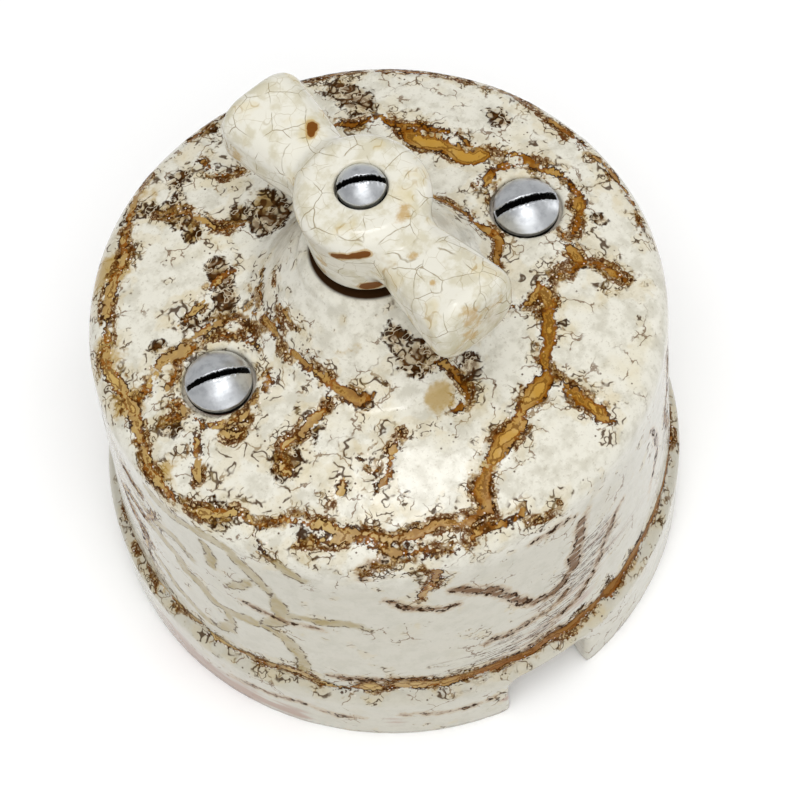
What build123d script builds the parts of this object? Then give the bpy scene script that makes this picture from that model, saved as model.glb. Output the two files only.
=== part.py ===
"""Surface-mounted ceramic rotary wall switch, in millimetres.

The origin is the centre of the back, the face that lies on the wall. +Z points out of the
wall, towards the knob. The two cover screws stand on the X axis, and the cable notch in the
cover's skirt faces -Y, which is down when the switch hangs on a wall.
"""
import os
from math import cos, radians, sin

from build123d import *

# ---- Driving dimensions -------------------------------------------------------------------
FIT_GAP = 0.03             # radial gap of a screw or pin in its own hole
RUNNING_GAP = 0.05         # radial gap of the spindle in its bushes
CUT_PAST = 1.0             # how far a cutting shape runs past the face it cuts
COVER_RADIUS = 35.0        # the skirt at the foot of the cover
SKIRT_HEIGHT = 10.2
SKIRT_EDGE_Z = 9.0         # where the skirt's rounded top edge begins
WALL_FOOT_RADIUS = 33.75
WALL_TOP_RADIUS = 32.35
SHOULDER_RADIUS = 3.2      # rounding between the wall and the top of the cover
TOP_EDGE_Z = 43.0          # where the shoulder meets the domed top
TOP_INNER_Z = 45.1         # the domed top at the foot of the boss
SCREW_SEAT_Z = 43.0        # floor of the two screw recesses
BOSS_FOOT_RADIUS = 13.4
BOSS_FLANK_Z = 46.4        # where the boss's flank leaves its foot
BOSS_TOP_RADIUS = 7.9
BOSS_TOP_ROUNDING = 1.5
SCREW_RECESS_RADIUS = 4.05
SCREW_HOLE_RADIUS = 2.3    # in the cover, under the recesses
BOSS_TOP_Z = 54.2
COVER_INNER_RADIUS = 31.0
COVER_CEILING_Z = 40.5
BOSS_HOLLOW = ((9.0, COVER_CEILING_Z), (6.0, 50.5))  # its foot and top, as radius and height
SPINDLE_HOLE_RADIUS = 4.2
NOTCH_WIDTH = 10.6
NOTCH_HEIGHT = 8.7
NOTCH_CORNER = 2.0

BASE_RADIUS = 30.4
BASE_THICKNESS = 8.0
FIXING_PITCH = 40.0        # between the two wall screws, along Y
FIXING_SLOT_RADIUS = 2.15
FIXING_SLOT_LENGTH = 7.0
FIXING_HEAD_RADIUS = 4.2
FIXING_SEAT_Z = 4.5        # where the heads of the wall screws rest
COUNTERSINK_RADIUS = 4.2   # for the pillar screws, from behind
COUNTERSINK_LAND = 0.6
COUNTERSINK_DEPTH = 2.7
CABLE_CHANNEL = (11.5, -25.6)  # width, and the Y where it ends, in line with the notch

SCREW_PITCH_RADIUS = 19.9  # cover screws and pillars from the axis
M4_RADIUS = 1.95
M3_RADIUS = 1.45
PILLAR_ACROSS_FLATS = 7.0
LOWER_PILLAR_TOP = 26.0
UPPER_PILLAR_TOP = 40.4

BRIDGE_THICKNESS = 1.6
BRIDGE_TOP = LOWER_PILLAR_TOP + BRIDGE_THICKNESS
BRIDGE_LENGTH = 50.0
BRIDGE_WIDTH = 18.0
BUSH_RADIUS = 4.5
BUSH_BOTTOM = 25.2
BUSH_TOP = 34.0
BUSH_FLANGE = (6.5, 1.2)   # radius and thickness
LOWER_BUSH_RADIUS = 3.5
LOWER_BUSH_BOTTOM = 0.7
LOWER_BUSH_FLANGE = (5.0, 0.8)

SPINDLE_RADIUS = 3.0
PIVOT_RADIUS = 2.0
SPINDLE_BOTTOM = 1.5
SPINDLE_TOP = 62.0
DRIVE_SQUARE = 6.0         # the square that drives the rotor and the cam
DRIVE_BOTTOM = 10.4
DRIVE_TOP = 24.6
KNOB_SQUARE = 4.6          # the square that drives the knob
KNOB_SQUARE_BOTTOM = 55.2
RING_GROOVE_Z = 34.15
RING_THICKNESS = 0.7
RING_RADIUS = 5.4
RING_GROOVE_RADIUS = 2.5

TERMINAL_ANGLES = (45, 135, 225, 315)
TERMINAL_RADIUS = 21.5     # centre of a terminal block from the axis
TERMINAL_SIZE = 8.0
TERMINAL_TOP = 17.0
STRIP_THICKNESS = 1.0
STRIP_WIDTH = 5.0
STRIP_TOP = BASE_THICKNESS + STRIP_THICKNESS
STRIP_START = 6.0          # inner end of a strip from the axis
WIRE_HOLE_RADIUS = 1.6
WIRE_HOLE_Z = 12.5
RIVET_DISTANCE = 13.5      # from the axis
RIVET_RADIUS = 1.2
RIVET_HEAD_RADIUS = 2.1
RIVET_HEAD_HEIGHT = 0.8
RIVET_BOTTOM = 2.2
CONTACT_RADIUS = 8.5       # contact tips from the axis
CONTACT_PLANE = 10.0       # top of the fixed tips
CONTACT_LIFT_GAP = 0.02
BLADE_BOTTOM = 11.0
BLADE_TOP = 11.8
BLADE_ANGLES = (45, 135)   # the two terminals joined at rest

ROTOR_RADIUS = 12.0
ROTOR_BOTTOM = 12.5
ROTOR_TOP = 20.3
SPRING_POCKET_TOP = 17.5
SPRING_POCKET_RADIUS = 2.3
KEEPER_SIZE = (4.0, 2.2)   # pegs at the two ends of the blade, radial and along it
KEEPER_BOTTOM = 10.7
CAM_WIDTH = 11.0           # across the flats of the square detent cam
CAM_BOTTOM = 20.8
LEAF_THICKNESS = 0.5
LEAF_BOTTOM = 21.1
LEAF_TOP = 24.3
LEAF_SPAN = 12.5           # from the axis to a leaf's pin, along X
PIN_RADIUS = 1.0
LEAF_FACE = CAM_WIDTH / 2 + CONTACT_LIFT_GAP
PIN_OFFSET = LEAF_FACE + LEAF_THICKNESS + PIN_RADIUS + FIT_GAP

KNOB_ANGLE = 9.4           # the grip stands this far past the line square to the cover screws
HUB_BOTTOM = 55.0
HUB_TOP = 66.2
HUB_BOTTOM_RADIUS = 6.2
HUB_TOP_RADIUS = 7.3
INSERT_RADIUS = 4.1
INSERT_TOP = 62.2
KNOB_WEB_TOP = 64.0        # the web under the knob screw's head
KNOB_RECESS_RADIUS = 2.75
HUB_LOW_ROUNDING = 0.7
HUB_TOP_ROUNDING = 2.2
GRIP_Z = 60.9              # centre line of the two grip arms
GRIP_LENGTH = 18.2         # from the axis to the end of an arm
GRIP_NECK = (7.8, 7.4)     # width and height where an arm leaves the hub
GRIP_END = (10.8, 9.7)     # width and height at the end of an arm
GRIP_END_ROUNDING = 1.7
WASHER_THICKNESS = 0.5     # under the cover screws and above the cam
KNOB_WASHER_THICKNESS = 0.4


# ---- Helpers ------------------------------------------------------------------------------
def turned(*edges):
    """Solid of revolution about Z from a closed outline in the XZ plane."""
    return revolve(make_face(list(edges)), Axis.Z)


def turned_polygon(*points):
    """Solid of revolution from straight runs between (radius, z) points."""
    outline = Polyline(*[(r, 0, z) for r, z in points], close=True)
    return revolve(make_face(outline), Axis.Z)


def disc(radius, bottom, top, hole=0.0):
    """Upright round disc, rod or ring between two heights."""
    face = Circle(radius)
    if hole:
        face = face - Circle(hole)
    return Pos(0, 0, bottom) * extrude(face, top - bottom)


def square_bar(side, bottom, top, corner=0.0):
    """Upright square bar between two heights."""
    face = RectangleRounded(side, side, corner) if corner else Rectangle(side, side)
    return Pos(0, 0, bottom) * extrude(face, top - bottom)


def around(shape, angles, radius):
    """Copies of a shape at the given angles and distance from the axis, turned to match."""
    return Part() + [Rot(0, 0, a) * Pos(radius, 0, 0) * shape for a in angles]


def slotted_screw(seat, head_radius, rim, dome, shank_radius, length, slot, slot_angle):
    """Round-headed slotted screw whose head sits on z = seat."""
    top = seat + rim + dome
    head = turned(
        Line((0, 0, seat), (head_radius, 0, seat)),
        Line((head_radius, 0, seat), (head_radius, 0, seat + rim)),
        ThreePointArc((head_radius, 0, seat + rim),
                      (head_radius * 0.62, 0, seat + rim + dome * 0.72), (0, 0, top)),
        Line((0, 0, top), (0, 0, seat)),
    )
    cut = Box(3 * head_radius, slot, rim + dome, align=(Align.CENTER, Align.CENTER, Align.MIN))
    head = head - Pos(0, 0, top - 0.55 * (rim + dome)) * Rot(0, 0, slot_angle) * cut
    return head + disc(shank_radius, seat - length, seat)


# ---- Casing -------------------------------------------------------------------------------
def cover():
    """Glazed cover: skirt, tapered wall, rounded shoulder, domed top and hollow boss."""
    skirt_rounding = SKIRT_HEIGHT - SKIRT_EDGE_Z
    shoulder_z = TOP_EDGE_Z - SHOULDER_RADIUS
    shoulder_mid = SHOULDER_RADIUS * (1 - cos(radians(45)))
    boss_mid = BOSS_TOP_ROUNDING * (1 - cos(radians(45)))
    outer = [
        Line((0, 0, 0), (COVER_RADIUS, 0, 0)),
        Line((COVER_RADIUS, 0, 0), (COVER_RADIUS, 0, SKIRT_EDGE_Z)),
        ThreePointArc((COVER_RADIUS, 0, SKIRT_EDGE_Z),
                      (COVER_RADIUS - 0.37, 0, SKIRT_EDGE_Z + skirt_rounding * 0.7),
                      (WALL_FOOT_RADIUS, 0, SKIRT_HEIGHT)),
        Line((WALL_FOOT_RADIUS, 0, SKIRT_HEIGHT), (WALL_TOP_RADIUS, 0, shoulder_z)),
        ThreePointArc((WALL_TOP_RADIUS, 0, shoulder_z),
                      (WALL_TOP_RADIUS - shoulder_mid, 0, TOP_EDGE_Z - shoulder_mid),
                      (WALL_TOP_RADIUS - SHOULDER_RADIUS, 0, TOP_EDGE_Z)),
        ThreePointArc((WALL_TOP_RADIUS - SHOULDER_RADIUS, 0, TOP_EDGE_Z),
                      (SCREW_PITCH_RADIUS + 1.5, 0, TOP_EDGE_Z + 1.4),
                      (BOSS_FOOT_RADIUS + 1.8, 0, TOP_INNER_Z - 0.2)),
        ThreePointArc((BOSS_FOOT_RADIUS + 1.8, 0, TOP_INNER_Z - 0.2),
                      (BOSS_FOOT_RADIUS + 0.9, 0, TOP_INNER_Z),
                      (BOSS_FOOT_RADIUS + 0.2, 0, TOP_INNER_Z + 0.5)),
        ThreePointArc((BOSS_FOOT_RADIUS + 0.2, 0, TOP_INNER_Z + 0.5),
                      (BOSS_FOOT_RADIUS - 0.2, 0, TOP_INNER_Z + 0.9),
                      (BOSS_FOOT_RADIUS - 0.8, 0, BOSS_FLANK_Z)),
        ThreePointArc((BOSS_FOOT_RADIUS - 0.8, 0, BOSS_FLANK_Z),
                      (BOSS_TOP_RADIUS + 2.2, 0, TOP_INNER_Z + 4.6),
                      (BOSS_TOP_RADIUS, 0, BOSS_TOP_Z - BOSS_TOP_ROUNDING)),
        ThreePointArc((BOSS_TOP_RADIUS, 0, BOSS_TOP_Z - BOSS_TOP_ROUNDING),
                      (BOSS_TOP_RADIUS - boss_mid, 0, BOSS_TOP_Z - boss_mid),
                      (BOSS_TOP_RADIUS - BOSS_TOP_ROUNDING, 0, BOSS_TOP_Z)),
        Line((BOSS_TOP_RADIUS - BOSS_TOP_ROUNDING, 0, BOSS_TOP_Z), (0, 0, BOSS_TOP_Z)),
        Line((0, 0, BOSS_TOP_Z), (0, 0, 0)),
    ]
    hollow = turned_polygon(
        (0, -CUT_PAST), (COVER_INNER_RADIUS, -CUT_PAST), (COVER_INNER_RADIUS, LOWER_PILLAR_TOP),
        (COVER_INNER_RADIUS - 2, COVER_CEILING_Z), *BOSS_HOLLOW, (0, BOSS_HOLLOW[-1][1]),
    )
    spindle_hole = disc(SPINDLE_HOLE_RADIUS, COVER_CEILING_Z, BOSS_TOP_Z + CUT_PAST)
    body = turned(*outer) - hollow - spindle_hole
    recess = disc(SCREW_RECESS_RADIUS, SCREW_SEAT_Z, BOSS_TOP_Z)
    recess = recess + disc(SCREW_HOLE_RADIUS, COVER_CEILING_Z - CUT_PAST, SCREW_SEAT_Z + CUT_PAST)
    body = body - around(recess, (0, 180), SCREW_PITCH_RADIUS)
    notch = Plane.XZ * RectangleRounded(NOTCH_WIDTH, 2 * NOTCH_HEIGHT, NOTCH_CORNER)
    return body - Pos(0, 5 - BASE_RADIUS, 0) * extrude(notch, 15)


def base_plate():
    """Ceramic base that is screwed to the wall and carries every inner part."""
    top_cut = BASE_THICKNESS + CUT_PAST
    plate = chamfer(disc(BASE_RADIUS, 0, BASE_THICKNESS).edges().group_by(Axis.Z)[-1], 0.6)
    pillar_hole = disc(M4_RADIUS + 0.2, -CUT_PAST, top_cut)
    pillar_hole = pillar_hole + turned_polygon(
        (0, -CUT_PAST), (COUNTERSINK_RADIUS, -CUT_PAST), (COUNTERSINK_RADIUS, COUNTERSINK_LAND),
        (COUNTERSINK_RADIUS / 2, COUNTERSINK_DEPTH), (0, COUNTERSINK_DEPTH))
    plate = plate - around(pillar_hole, (0, 180), SCREW_PITCH_RADIUS)
    plate = plate - disc(LOWER_BUSH_RADIUS, -CUT_PAST, top_cut)
    slot_face = Rot(0, 0, 90) * SlotOverall(FIXING_SLOT_LENGTH, 2 * FIXING_SLOT_RADIUS)
    head_length = FIXING_SLOT_LENGTH + 2 * (FIXING_HEAD_RADIUS - FIXING_SLOT_RADIUS)
    head_face = Rot(0, 0, 90) * SlotOverall(head_length, 2 * FIXING_HEAD_RADIUS)
    for side in (-1, 1):
        place = Pos(0, side * FIXING_PITCH / 2, 0)
        plate = plate - place * Pos(0, 0, -CUT_PAST) * extrude(slot_face, top_cut + CUT_PAST)
        plate = plate - place * Pos(0, 0, FIXING_SEAT_Z) * extrude(head_face, BASE_THICKNESS)
    rivet_hole = disc(RIVET_RADIUS + FIT_GAP, -CUT_PAST, top_cut)
    rivet_hole = rivet_hole + disc(RIVET_HEAD_RADIUS + 0.1, -CUT_PAST, RIVET_BOTTOM + RIVET_HEAD_HEIGHT)
    plate = plate - around(rivet_hole, TERMINAL_ANGLES, RIVET_DISTANCE)
    width, end = CABLE_CHANNEL
    channel = Box(width, BASE_THICKNESS, 3 * top_cut, align=(Align.CENTER, Align.MAX, Align.CENTER))
    return plate - Pos(0, end, 0) * channel


# ---- Pillars and bridge -------------------------------------------------------------------
def hexagonal_pillar(bottom, top):
    """Hexagonal brass pillar with a threaded hole right through it."""
    face = RegularPolygon(PILLAR_ACROSS_FLATS / 2, 6, major_radius=False)
    face = face - Circle(M4_RADIUS + FIT_GAP)
    return Pos(0, 0, bottom) * extrude(face, top - bottom)


def lower_pillars():
    """Pillars that stand on the base and hold the bridge up."""
    return around(hexagonal_pillar(BASE_THICKNESS, LOWER_PILLAR_TOP), (0, 180), SCREW_PITCH_RADIUS)


def upper_pillars():
    """Pillars that clamp the bridge and take the cover screws."""
    stud = disc(M4_RADIUS, LOWER_PILLAR_TOP - 6.5, BRIDGE_TOP)
    blind = disc(2.5, BRIDGE_TOP, BRIDGE_TOP + 2.5)
    one = hexagonal_pillar(BRIDGE_TOP, UPPER_PILLAR_TOP) + blind + stud
    return around(one, (0, 180), SCREW_PITCH_RADIUS)


def pillar_base_screws():
    """Countersunk screws that hold the lower pillars to the base from behind."""
    bottom = COUNTERSINK_LAND
    head_radius = COUNTERSINK_RADIUS - 0.3
    end = 17.0
    head = turned_polygon((0, bottom), (head_radius, bottom), (M4_RADIUS, bottom + head_radius - M4_RADIUS),
                          (M4_RADIUS, end), (0, end))
    slot = Box(3 * head_radius, 1.0, 0.9, align=(Align.CENTER, Align.CENTER, Align.MIN))
    return around(head - Pos(0, 0, bottom) * slot, (0, 180), SCREW_PITCH_RADIUS)


def bridge_plate():
    """Steel strap between the pillars that carries the spindle's upper bush."""
    outline = RectangleRounded(BRIDGE_LENGTH, BRIDGE_WIDTH, 6.0) - Circle(BUSH_RADIUS)
    for side in (-1, 1):
        outline = outline - Pos(side * SCREW_PITCH_RADIUS, 0) * Circle(M4_RADIUS + 0.1)
        for end in (-1, 1):
            outline = outline - Pos(side * LEAF_SPAN, end * PIN_OFFSET) * Circle(PIN_RADIUS)
    return Pos(0, 0, LOWER_PILLAR_TOP) * extrude(outline, BRIDGE_THICKNESS)


def spring_pins():
    """Four pins riveted into the bridge, which hold the ends of the detent springs."""
    pins = [Pos(x, y, 0) * disc(PIN_RADIUS, CAM_BOTTOM, BRIDGE_TOP)
            for x in (-LEAF_SPAN, LEAF_SPAN) for y in (-PIN_OFFSET, PIN_OFFSET)]
    return Part() + pins


def detent_spring():
    """Flat spring beside the cam, on +Y, with each end curled round a pin."""
    leaf_centre = LEAF_FACE + LEAF_THICKNESS / 2
    profile = Pos(0, leaf_centre) * Rectangle(2 * LEAF_SPAN, LEAF_THICKNESS)
    curl_inner = PIN_RADIUS + FIT_GAP
    curl = Circle(curl_inner + LEAF_THICKNESS) - Circle(curl_inner)
    reach = 4.0
    for side in (-1, 1):
        half = Pos(side * reach / 2, 0) * Rectangle(reach, 2 * reach)
        profile = profile + Pos(side * LEAF_SPAN, PIN_OFFSET) * (curl & half)
    return Pos(0, 0, LEAF_BOTTOM) * extrude(profile, LEAF_TOP - LEAF_BOTTOM)


def bearing_bush():
    """Flanged brass bush in the bridge."""
    flange_radius, flange_thickness = BUSH_FLANGE
    barrel = disc(BUSH_RADIUS, BUSH_BOTTOM, BUSH_TOP)
    barrel = barrel + disc(flange_radius, BRIDGE_TOP, BRIDGE_TOP + flange_thickness)
    return barrel - disc(SPINDLE_RADIUS + RUNNING_GAP, BUSH_BOTTOM - CUT_PAST, BUSH_TOP + CUT_PAST)


def lower_bush():
    """Blind brass bush in the base for the foot of the spindle."""
    flange_radius, flange_thickness = LOWER_BUSH_FLANGE
    flange_top = BASE_THICKNESS + flange_thickness
    barrel = disc(LOWER_BUSH_RADIUS, LOWER_BUSH_BOTTOM, BASE_THICKNESS)
    barrel = barrel + disc(flange_radius, BASE_THICKNESS, flange_top)
    return barrel - disc(PIVOT_RADIUS + RUNNING_GAP, SPINDLE_BOTTOM - 0.1, flange_top + CUT_PAST)


# ---- Spindle, rotor and detent ------------------------------------------------------------
def spindle():
    """Steel spindle: foot pivot, drive square, journal, ring groove and knob square."""
    body = disc(PIVOT_RADIUS, SPINDLE_BOTTOM, DRIVE_BOTTOM)
    body = body + square_bar(DRIVE_SQUARE, DRIVE_BOTTOM, DRIVE_TOP, 0.3)
    body = body + disc(SPINDLE_RADIUS, DRIVE_TOP, KNOB_SQUARE_BOTTOM)
    tip = Rot(0, 0, KNOB_ANGLE) * square_bar(KNOB_SQUARE, KNOB_SQUARE_BOTTOM, SPINDLE_TOP)
    body = body + (tip & disc(SPINDLE_RADIUS, KNOB_SQUARE_BOTTOM, SPINDLE_TOP))
    groove_top = RING_GROOVE_Z + RING_THICKNESS
    body = body - disc(2 * SPINDLE_RADIUS, RING_GROOVE_Z, groove_top, hole=RING_GROOVE_RADIUS)
    tapped_depth = 11.0
    return body - disc(M3_RADIUS + FIT_GAP, SPINDLE_TOP - tapped_depth, SPINDLE_TOP + CUT_PAST)


def thrust_washer():
    """Washer between the top of the cam and the bush."""
    return disc(5.2, DRIVE_TOP, DRIVE_TOP + WASHER_THICKNESS, hole=SPINDLE_RADIUS + RUNNING_GAP)


def retaining_ring():
    """Open ring in the spindle's groove, above the bush."""
    ring = disc(RING_RADIUS, RING_GROOVE_Z, RING_GROOVE_Z + RING_THICKNESS, hole=RING_GROOVE_RADIUS)
    deep = 4.0
    mouth_width = 3.6
    mouth = Box(2 * deep, mouth_width, deep, align=(Align.MIN, Align.CENTER, Align.CENTER))
    window = Box(1.4, 2.6, deep)
    return ring - Pos(0, 0, RING_GROOVE_Z) * (mouth + around(window, (120, 240), 4.0))


def rotor():
    """Steatite drum that carries the moving contact on its springs."""
    shoulder_radius = 6.6
    body = disc(ROTOR_RADIUS, ROTOR_BOTTOM, ROTOR_TOP) + disc(shoulder_radius, ROTOR_TOP, CAM_BOTTOM)
    keeper = Pos(0, 0, KEEPER_BOTTOM) * extrude(Rectangle(*KEEPER_SIZE), ROTOR_BOTTOM - KEEPER_BOTTOM)
    first, last = BLADE_ANGLES
    past_blade = 27.0
    body = body + around(keeper, (first - past_blade, last + past_blade), CONTACT_RADIUS)
    body = body - square_bar(DRIVE_SQUARE + 2 * RUNNING_GAP, KEEPER_BOTTOM, CAM_BOTTOM + CUT_PAST)
    pocket = disc(SPRING_POCKET_RADIUS, ROTOR_BOTTOM - CUT_PAST, SPRING_POCKET_TOP)
    return body - around(pocket, BLADE_ANGLES, CONTACT_RADIUS)


def detent_cam():
    """Square cam whose flats rest between the two detent springs."""
    body = square_bar(CAM_WIDTH, CAM_BOTTOM, DRIVE_TOP, 1.6)
    return body - square_bar(DRIVE_SQUARE + 2 * RUNNING_GAP, CAM_BOTTOM - CUT_PAST, DRIVE_TOP + CUT_PAST)


def moving_contact():
    """Curved bronze blade that joins two neighbouring terminals."""
    first, last = BLADE_ANGLES
    outward, inward, past_tip = 2.2, 2.4, 15.0
    ring = Circle(CONTACT_RADIUS + outward) - Circle(CONTACT_RADIUS - inward)
    reach = 40.0
    middle = radians((first + last) / 2)
    edges = [radians(first - past_tip), radians(last + past_tip)]
    wedge = make_face(Polyline(
        (0, 0), (reach * cos(edges[0]), reach * sin(edges[0])),
        (reach * cos(middle), reach * sin(middle)),
        (reach * cos(edges[1]), reach * sin(edges[1])), close=True))
    return Pos(0, 0, BLADE_BOTTOM) * extrude(ring & wedge, BLADE_TOP - BLADE_BOTTOM)


def moving_contact_tips():
    """Silver tips under the two ends of the moving contact."""
    tip = disc(1.9, CONTACT_PLANE + CONTACT_LIFT_GAP, BLADE_BOTTOM)
    return around(tip, BLADE_ANGLES, CONTACT_RADIUS)


def contact_springs():
    """Coil springs in the rotor that press the moving contact down."""
    coil_radius, wire_radius, coils = 1.5, 0.3, 4
    low = BLADE_TOP + wire_radius
    height = SPRING_POCKET_TOP - wire_radius - low
    path = Helix(pitch=height / coils, height=height, radius=coil_radius)
    start = Plane(origin=path @ 0, z_dir=path % 0)
    coil = sweep(start * Circle(wire_radius), path=path)
    return around(Pos(0, 0, low) * coil, BLADE_ANGLES, CONTACT_RADIUS)


# ---- Terminals and fixed contacts ---------------------------------------------------------
def terminal_block():
    """Brass block with a radial wire hole and a clamping screw's hole above it."""
    block = Box(TERMINAL_SIZE, TERMINAL_SIZE, TERMINAL_TOP - STRIP_TOP,
                align=(Align.CENTER, Align.CENTER, Align.MIN))
    block = chamfer(block.edges().group_by(Axis.Z)[-1], 0.4)
    block = Pos(TERMINAL_RADIUS, 0, STRIP_TOP) * block
    wire_hole = Pos(TERMINAL_RADIUS - 2.5, 0, WIRE_HOLE_Z) * Rot(0, 90, 0) * Cylinder(
        WIRE_HOLE_RADIUS, 1.5 * TERMINAL_SIZE, align=(Align.CENTER, Align.CENTER, Align.MIN))
    screw_hole = Pos(TERMINAL_RADIUS, 0, 0) * disc(M3_RADIUS + FIT_GAP, WIRE_HOLE_Z, TERMINAL_TOP + CUT_PAST)
    return block - wire_hole - screw_hole


def contact_strip():
    """Brass strip from under a terminal block to its fixed contact."""
    end = TERMINAL_RADIUS + TERMINAL_SIZE / 2
    strip = Pos((STRIP_START + end) / 2, 0) * RectangleRounded(end - STRIP_START, STRIP_WIDTH, 0.8)
    strip = strip - Pos(RIVET_DISTANCE, 0) * Circle(RIVET_RADIUS)
    return Pos(0, 0, BASE_THICKNESS) * extrude(strip, STRIP_THICKNESS)


def strip_rivets():
    """Rivets that hold the strips to the base."""
    rivet = disc(RIVET_RADIUS, RIVET_BOTTOM, STRIP_TOP)
    rivet = rivet + disc(RIVET_HEAD_RADIUS, STRIP_TOP, STRIP_TOP + RIVET_HEAD_HEIGHT)
    rivet = rivet + disc(RIVET_HEAD_RADIUS, RIVET_BOTTOM, RIVET_BOTTOM + RIVET_HEAD_HEIGHT)
    return around(rivet, TERMINAL_ANGLES, RIVET_DISTANCE)


def fixed_contact_tips():
    """Silver tips on the inner ends of the strips."""
    return around(disc(2.0, STRIP_TOP, CONTACT_PLANE), TERMINAL_ANGLES, CONTACT_RADIUS)


def terminal_screws():
    """Slotted screws that clamp the wires in the terminal blocks."""
    screws = [Rot(0, 0, angle) * Pos(TERMINAL_RADIUS, 0, 0) * slotted_screw(
        seat=TERMINAL_TOP, head_radius=2.7, rim=1.2, dome=0.5, shank_radius=M3_RADIUS,
        length=3.4, slot=0.8, slot_angle=25 + 2 * angle) for angle in TERMINAL_ANGLES]
    return Part() + screws


# ---- Cover screws and knob ----------------------------------------------------------------
def cover_screw_washers():
    """Fibre washers that keep the steel heads off the glaze."""
    washer = disc(3.5, SCREW_SEAT_Z, SCREW_SEAT_Z + WASHER_THICKNESS, hole=M4_RADIUS + 0.15)
    return around(washer, (0, 180), SCREW_PITCH_RADIUS)


def cover_screws():
    """The two slotted screws that hold the cover."""
    screw = slotted_screw(
        seat=SCREW_SEAT_Z + WASHER_THICKNESS, head_radius=3.7, rim=1.1, dome=1.3,
        shank_radius=M4_RADIUS, length=11.5, slot=1.0, slot_angle=-15)
    return Part() + [Pos(side * SCREW_PITCH_RADIUS, 0, 0) * screw for side in (-1, 1)]


def grip_arm():
    """One flared arm of the knob, along -Y, from the axis to its rounded end."""
    stations = ((0.0, GRIP_NECK), (7.5, GRIP_NECK), (12.5, (9.5, 8.5)), (GRIP_LENGTH, GRIP_END))
    faces = []
    for distance, (width, height) in stations:
        face = RectangleRounded(width, height, 0.42 * height)
        faces.append(Pos(0, -distance, GRIP_Z) * Rot(90, 0, 0) * face)
    arm = loft(faces)
    end = arm.faces().sort_by(Axis.Y)[0]
    return fillet(end.edges(), GRIP_END_ROUNDING)


def knob():
    """Glazed knob: a tapered hub with two flared grip arms."""
    low_round, top_round = HUB_LOW_ROUNDING, HUB_TOP_ROUNDING
    top_mid = top_round * (1 - cos(radians(45)))
    hub = turned(
        Line((0, 0, HUB_BOTTOM), (HUB_BOTTOM_RADIUS - low_round, 0, HUB_BOTTOM)),
        ThreePointArc((HUB_BOTTOM_RADIUS - low_round, 0, HUB_BOTTOM),
                      (HUB_BOTTOM_RADIUS - 0.2, 0, HUB_BOTTOM + 0.2),
                      (HUB_BOTTOM_RADIUS, 0, HUB_BOTTOM + low_round)),
        Line((HUB_BOTTOM_RADIUS, 0, HUB_BOTTOM + low_round), (HUB_TOP_RADIUS, 0, HUB_TOP - top_round)),
        ThreePointArc((HUB_TOP_RADIUS, 0, HUB_TOP - top_round),
                      (HUB_TOP_RADIUS - top_mid, 0, HUB_TOP - top_mid),
                      (HUB_TOP_RADIUS - top_round, 0, HUB_TOP)),
        Line((HUB_TOP_RADIUS - top_round, 0, HUB_TOP), (0, 0, HUB_TOP)),
        Line((0, 0, HUB_TOP), (0, 0, HUB_BOTTOM)),
    )
    near_arm = grip_arm()
    far_arm = Rot(0, 0, 180) * near_arm
    body = hub + near_arm + far_arm
    body = body - disc(INSERT_RADIUS + FIT_GAP, HUB_BOTTOM - CUT_PAST, INSERT_TOP)
    body = body - disc(M3_RADIUS + 0.25, INSERT_TOP - CUT_PAST, HUB_TOP + CUT_PAST)
    body = body - disc(KNOB_RECESS_RADIUS, KNOB_WEB_TOP, HUB_TOP + CUT_PAST)
    return Rot(0, 0, KNOB_ANGLE) * body


def knob_insert():
    """Brass sleeve in the knob with the square hole for the spindle."""
    sleeve = disc(INSERT_RADIUS, HUB_BOTTOM + 0.4, INSERT_TOP - 0.05)
    hole = square_bar(KNOB_SQUARE + 2 * RUNNING_GAP, HUB_BOTTOM, INSERT_TOP)
    return Rot(0, 0, KNOB_ANGLE) * (sleeve - hole)


def knob_screw_washer():
    """Fibre washer under the knob screw."""
    return disc(2.4, KNOB_WEB_TOP, KNOB_WEB_TOP + KNOB_WASHER_THICKNESS, hole=M3_RADIUS + 0.1)


def knob_screw():
    """Slotted screw through the knob into the end of the spindle."""
    return slotted_screw(
        seat=KNOB_WEB_TOP + KNOB_WASHER_THICKNESS, head_radius=2.55, rim=2.0, dome=1.1,
        shank_radius=M3_RADIUS, length=8.7, slot=0.8, slot_angle=-24)


# ---- Write every node ---------------------------------------------------------------------
def nodes():
    """Every node's name with its shape."""
    made = {maker.__name__: maker() for maker in (
        cover, base_plate, lower_pillars, upper_pillars, pillar_base_screws, bridge_plate,
        spring_pins, bearing_bush, lower_bush, spindle, thrust_washer, retaining_ring, rotor,
        detent_cam, moving_contact, moving_contact_tips, contact_springs, strip_rivets,
        fixed_contact_tips, terminal_screws, cover_screw_washers, cover_screws, knob,
        knob_insert, knob_screw_washer, knob_screw)}
    made["detent_spring_upper"] = detent_spring()
    made["detent_spring_lower"] = Rot(0, 0, 180) * detent_spring()
    for number, angle in enumerate(TERMINAL_ANGLES, start=1):
        made[f"terminal_block_{number}"] = Rot(0, 0, angle) * terminal_block()
        made[f"contact_strip_{number}"] = Rot(0, 0, angle) * contact_strip()
    return made


os.makedirs("parts", exist_ok=True)
for name, shape in nodes().items():
    export_step(shape, f"parts/{name}.step")
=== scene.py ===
"""Crackle-glazed ceramic rotary wall switch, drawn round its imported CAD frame.

Shapes are worked out in millimetres as signed distances, less than 0 inside, and become metres
when they are meshed. Places on the cover are an azimuth in degrees, from +X towards +Y, and a
radius on the top or a height on the wall.
"""

import math

import bpy
import numpy as np
from mathutils import Matrix, Vector, noise
from mathutils.kdtree import KDTree


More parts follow.
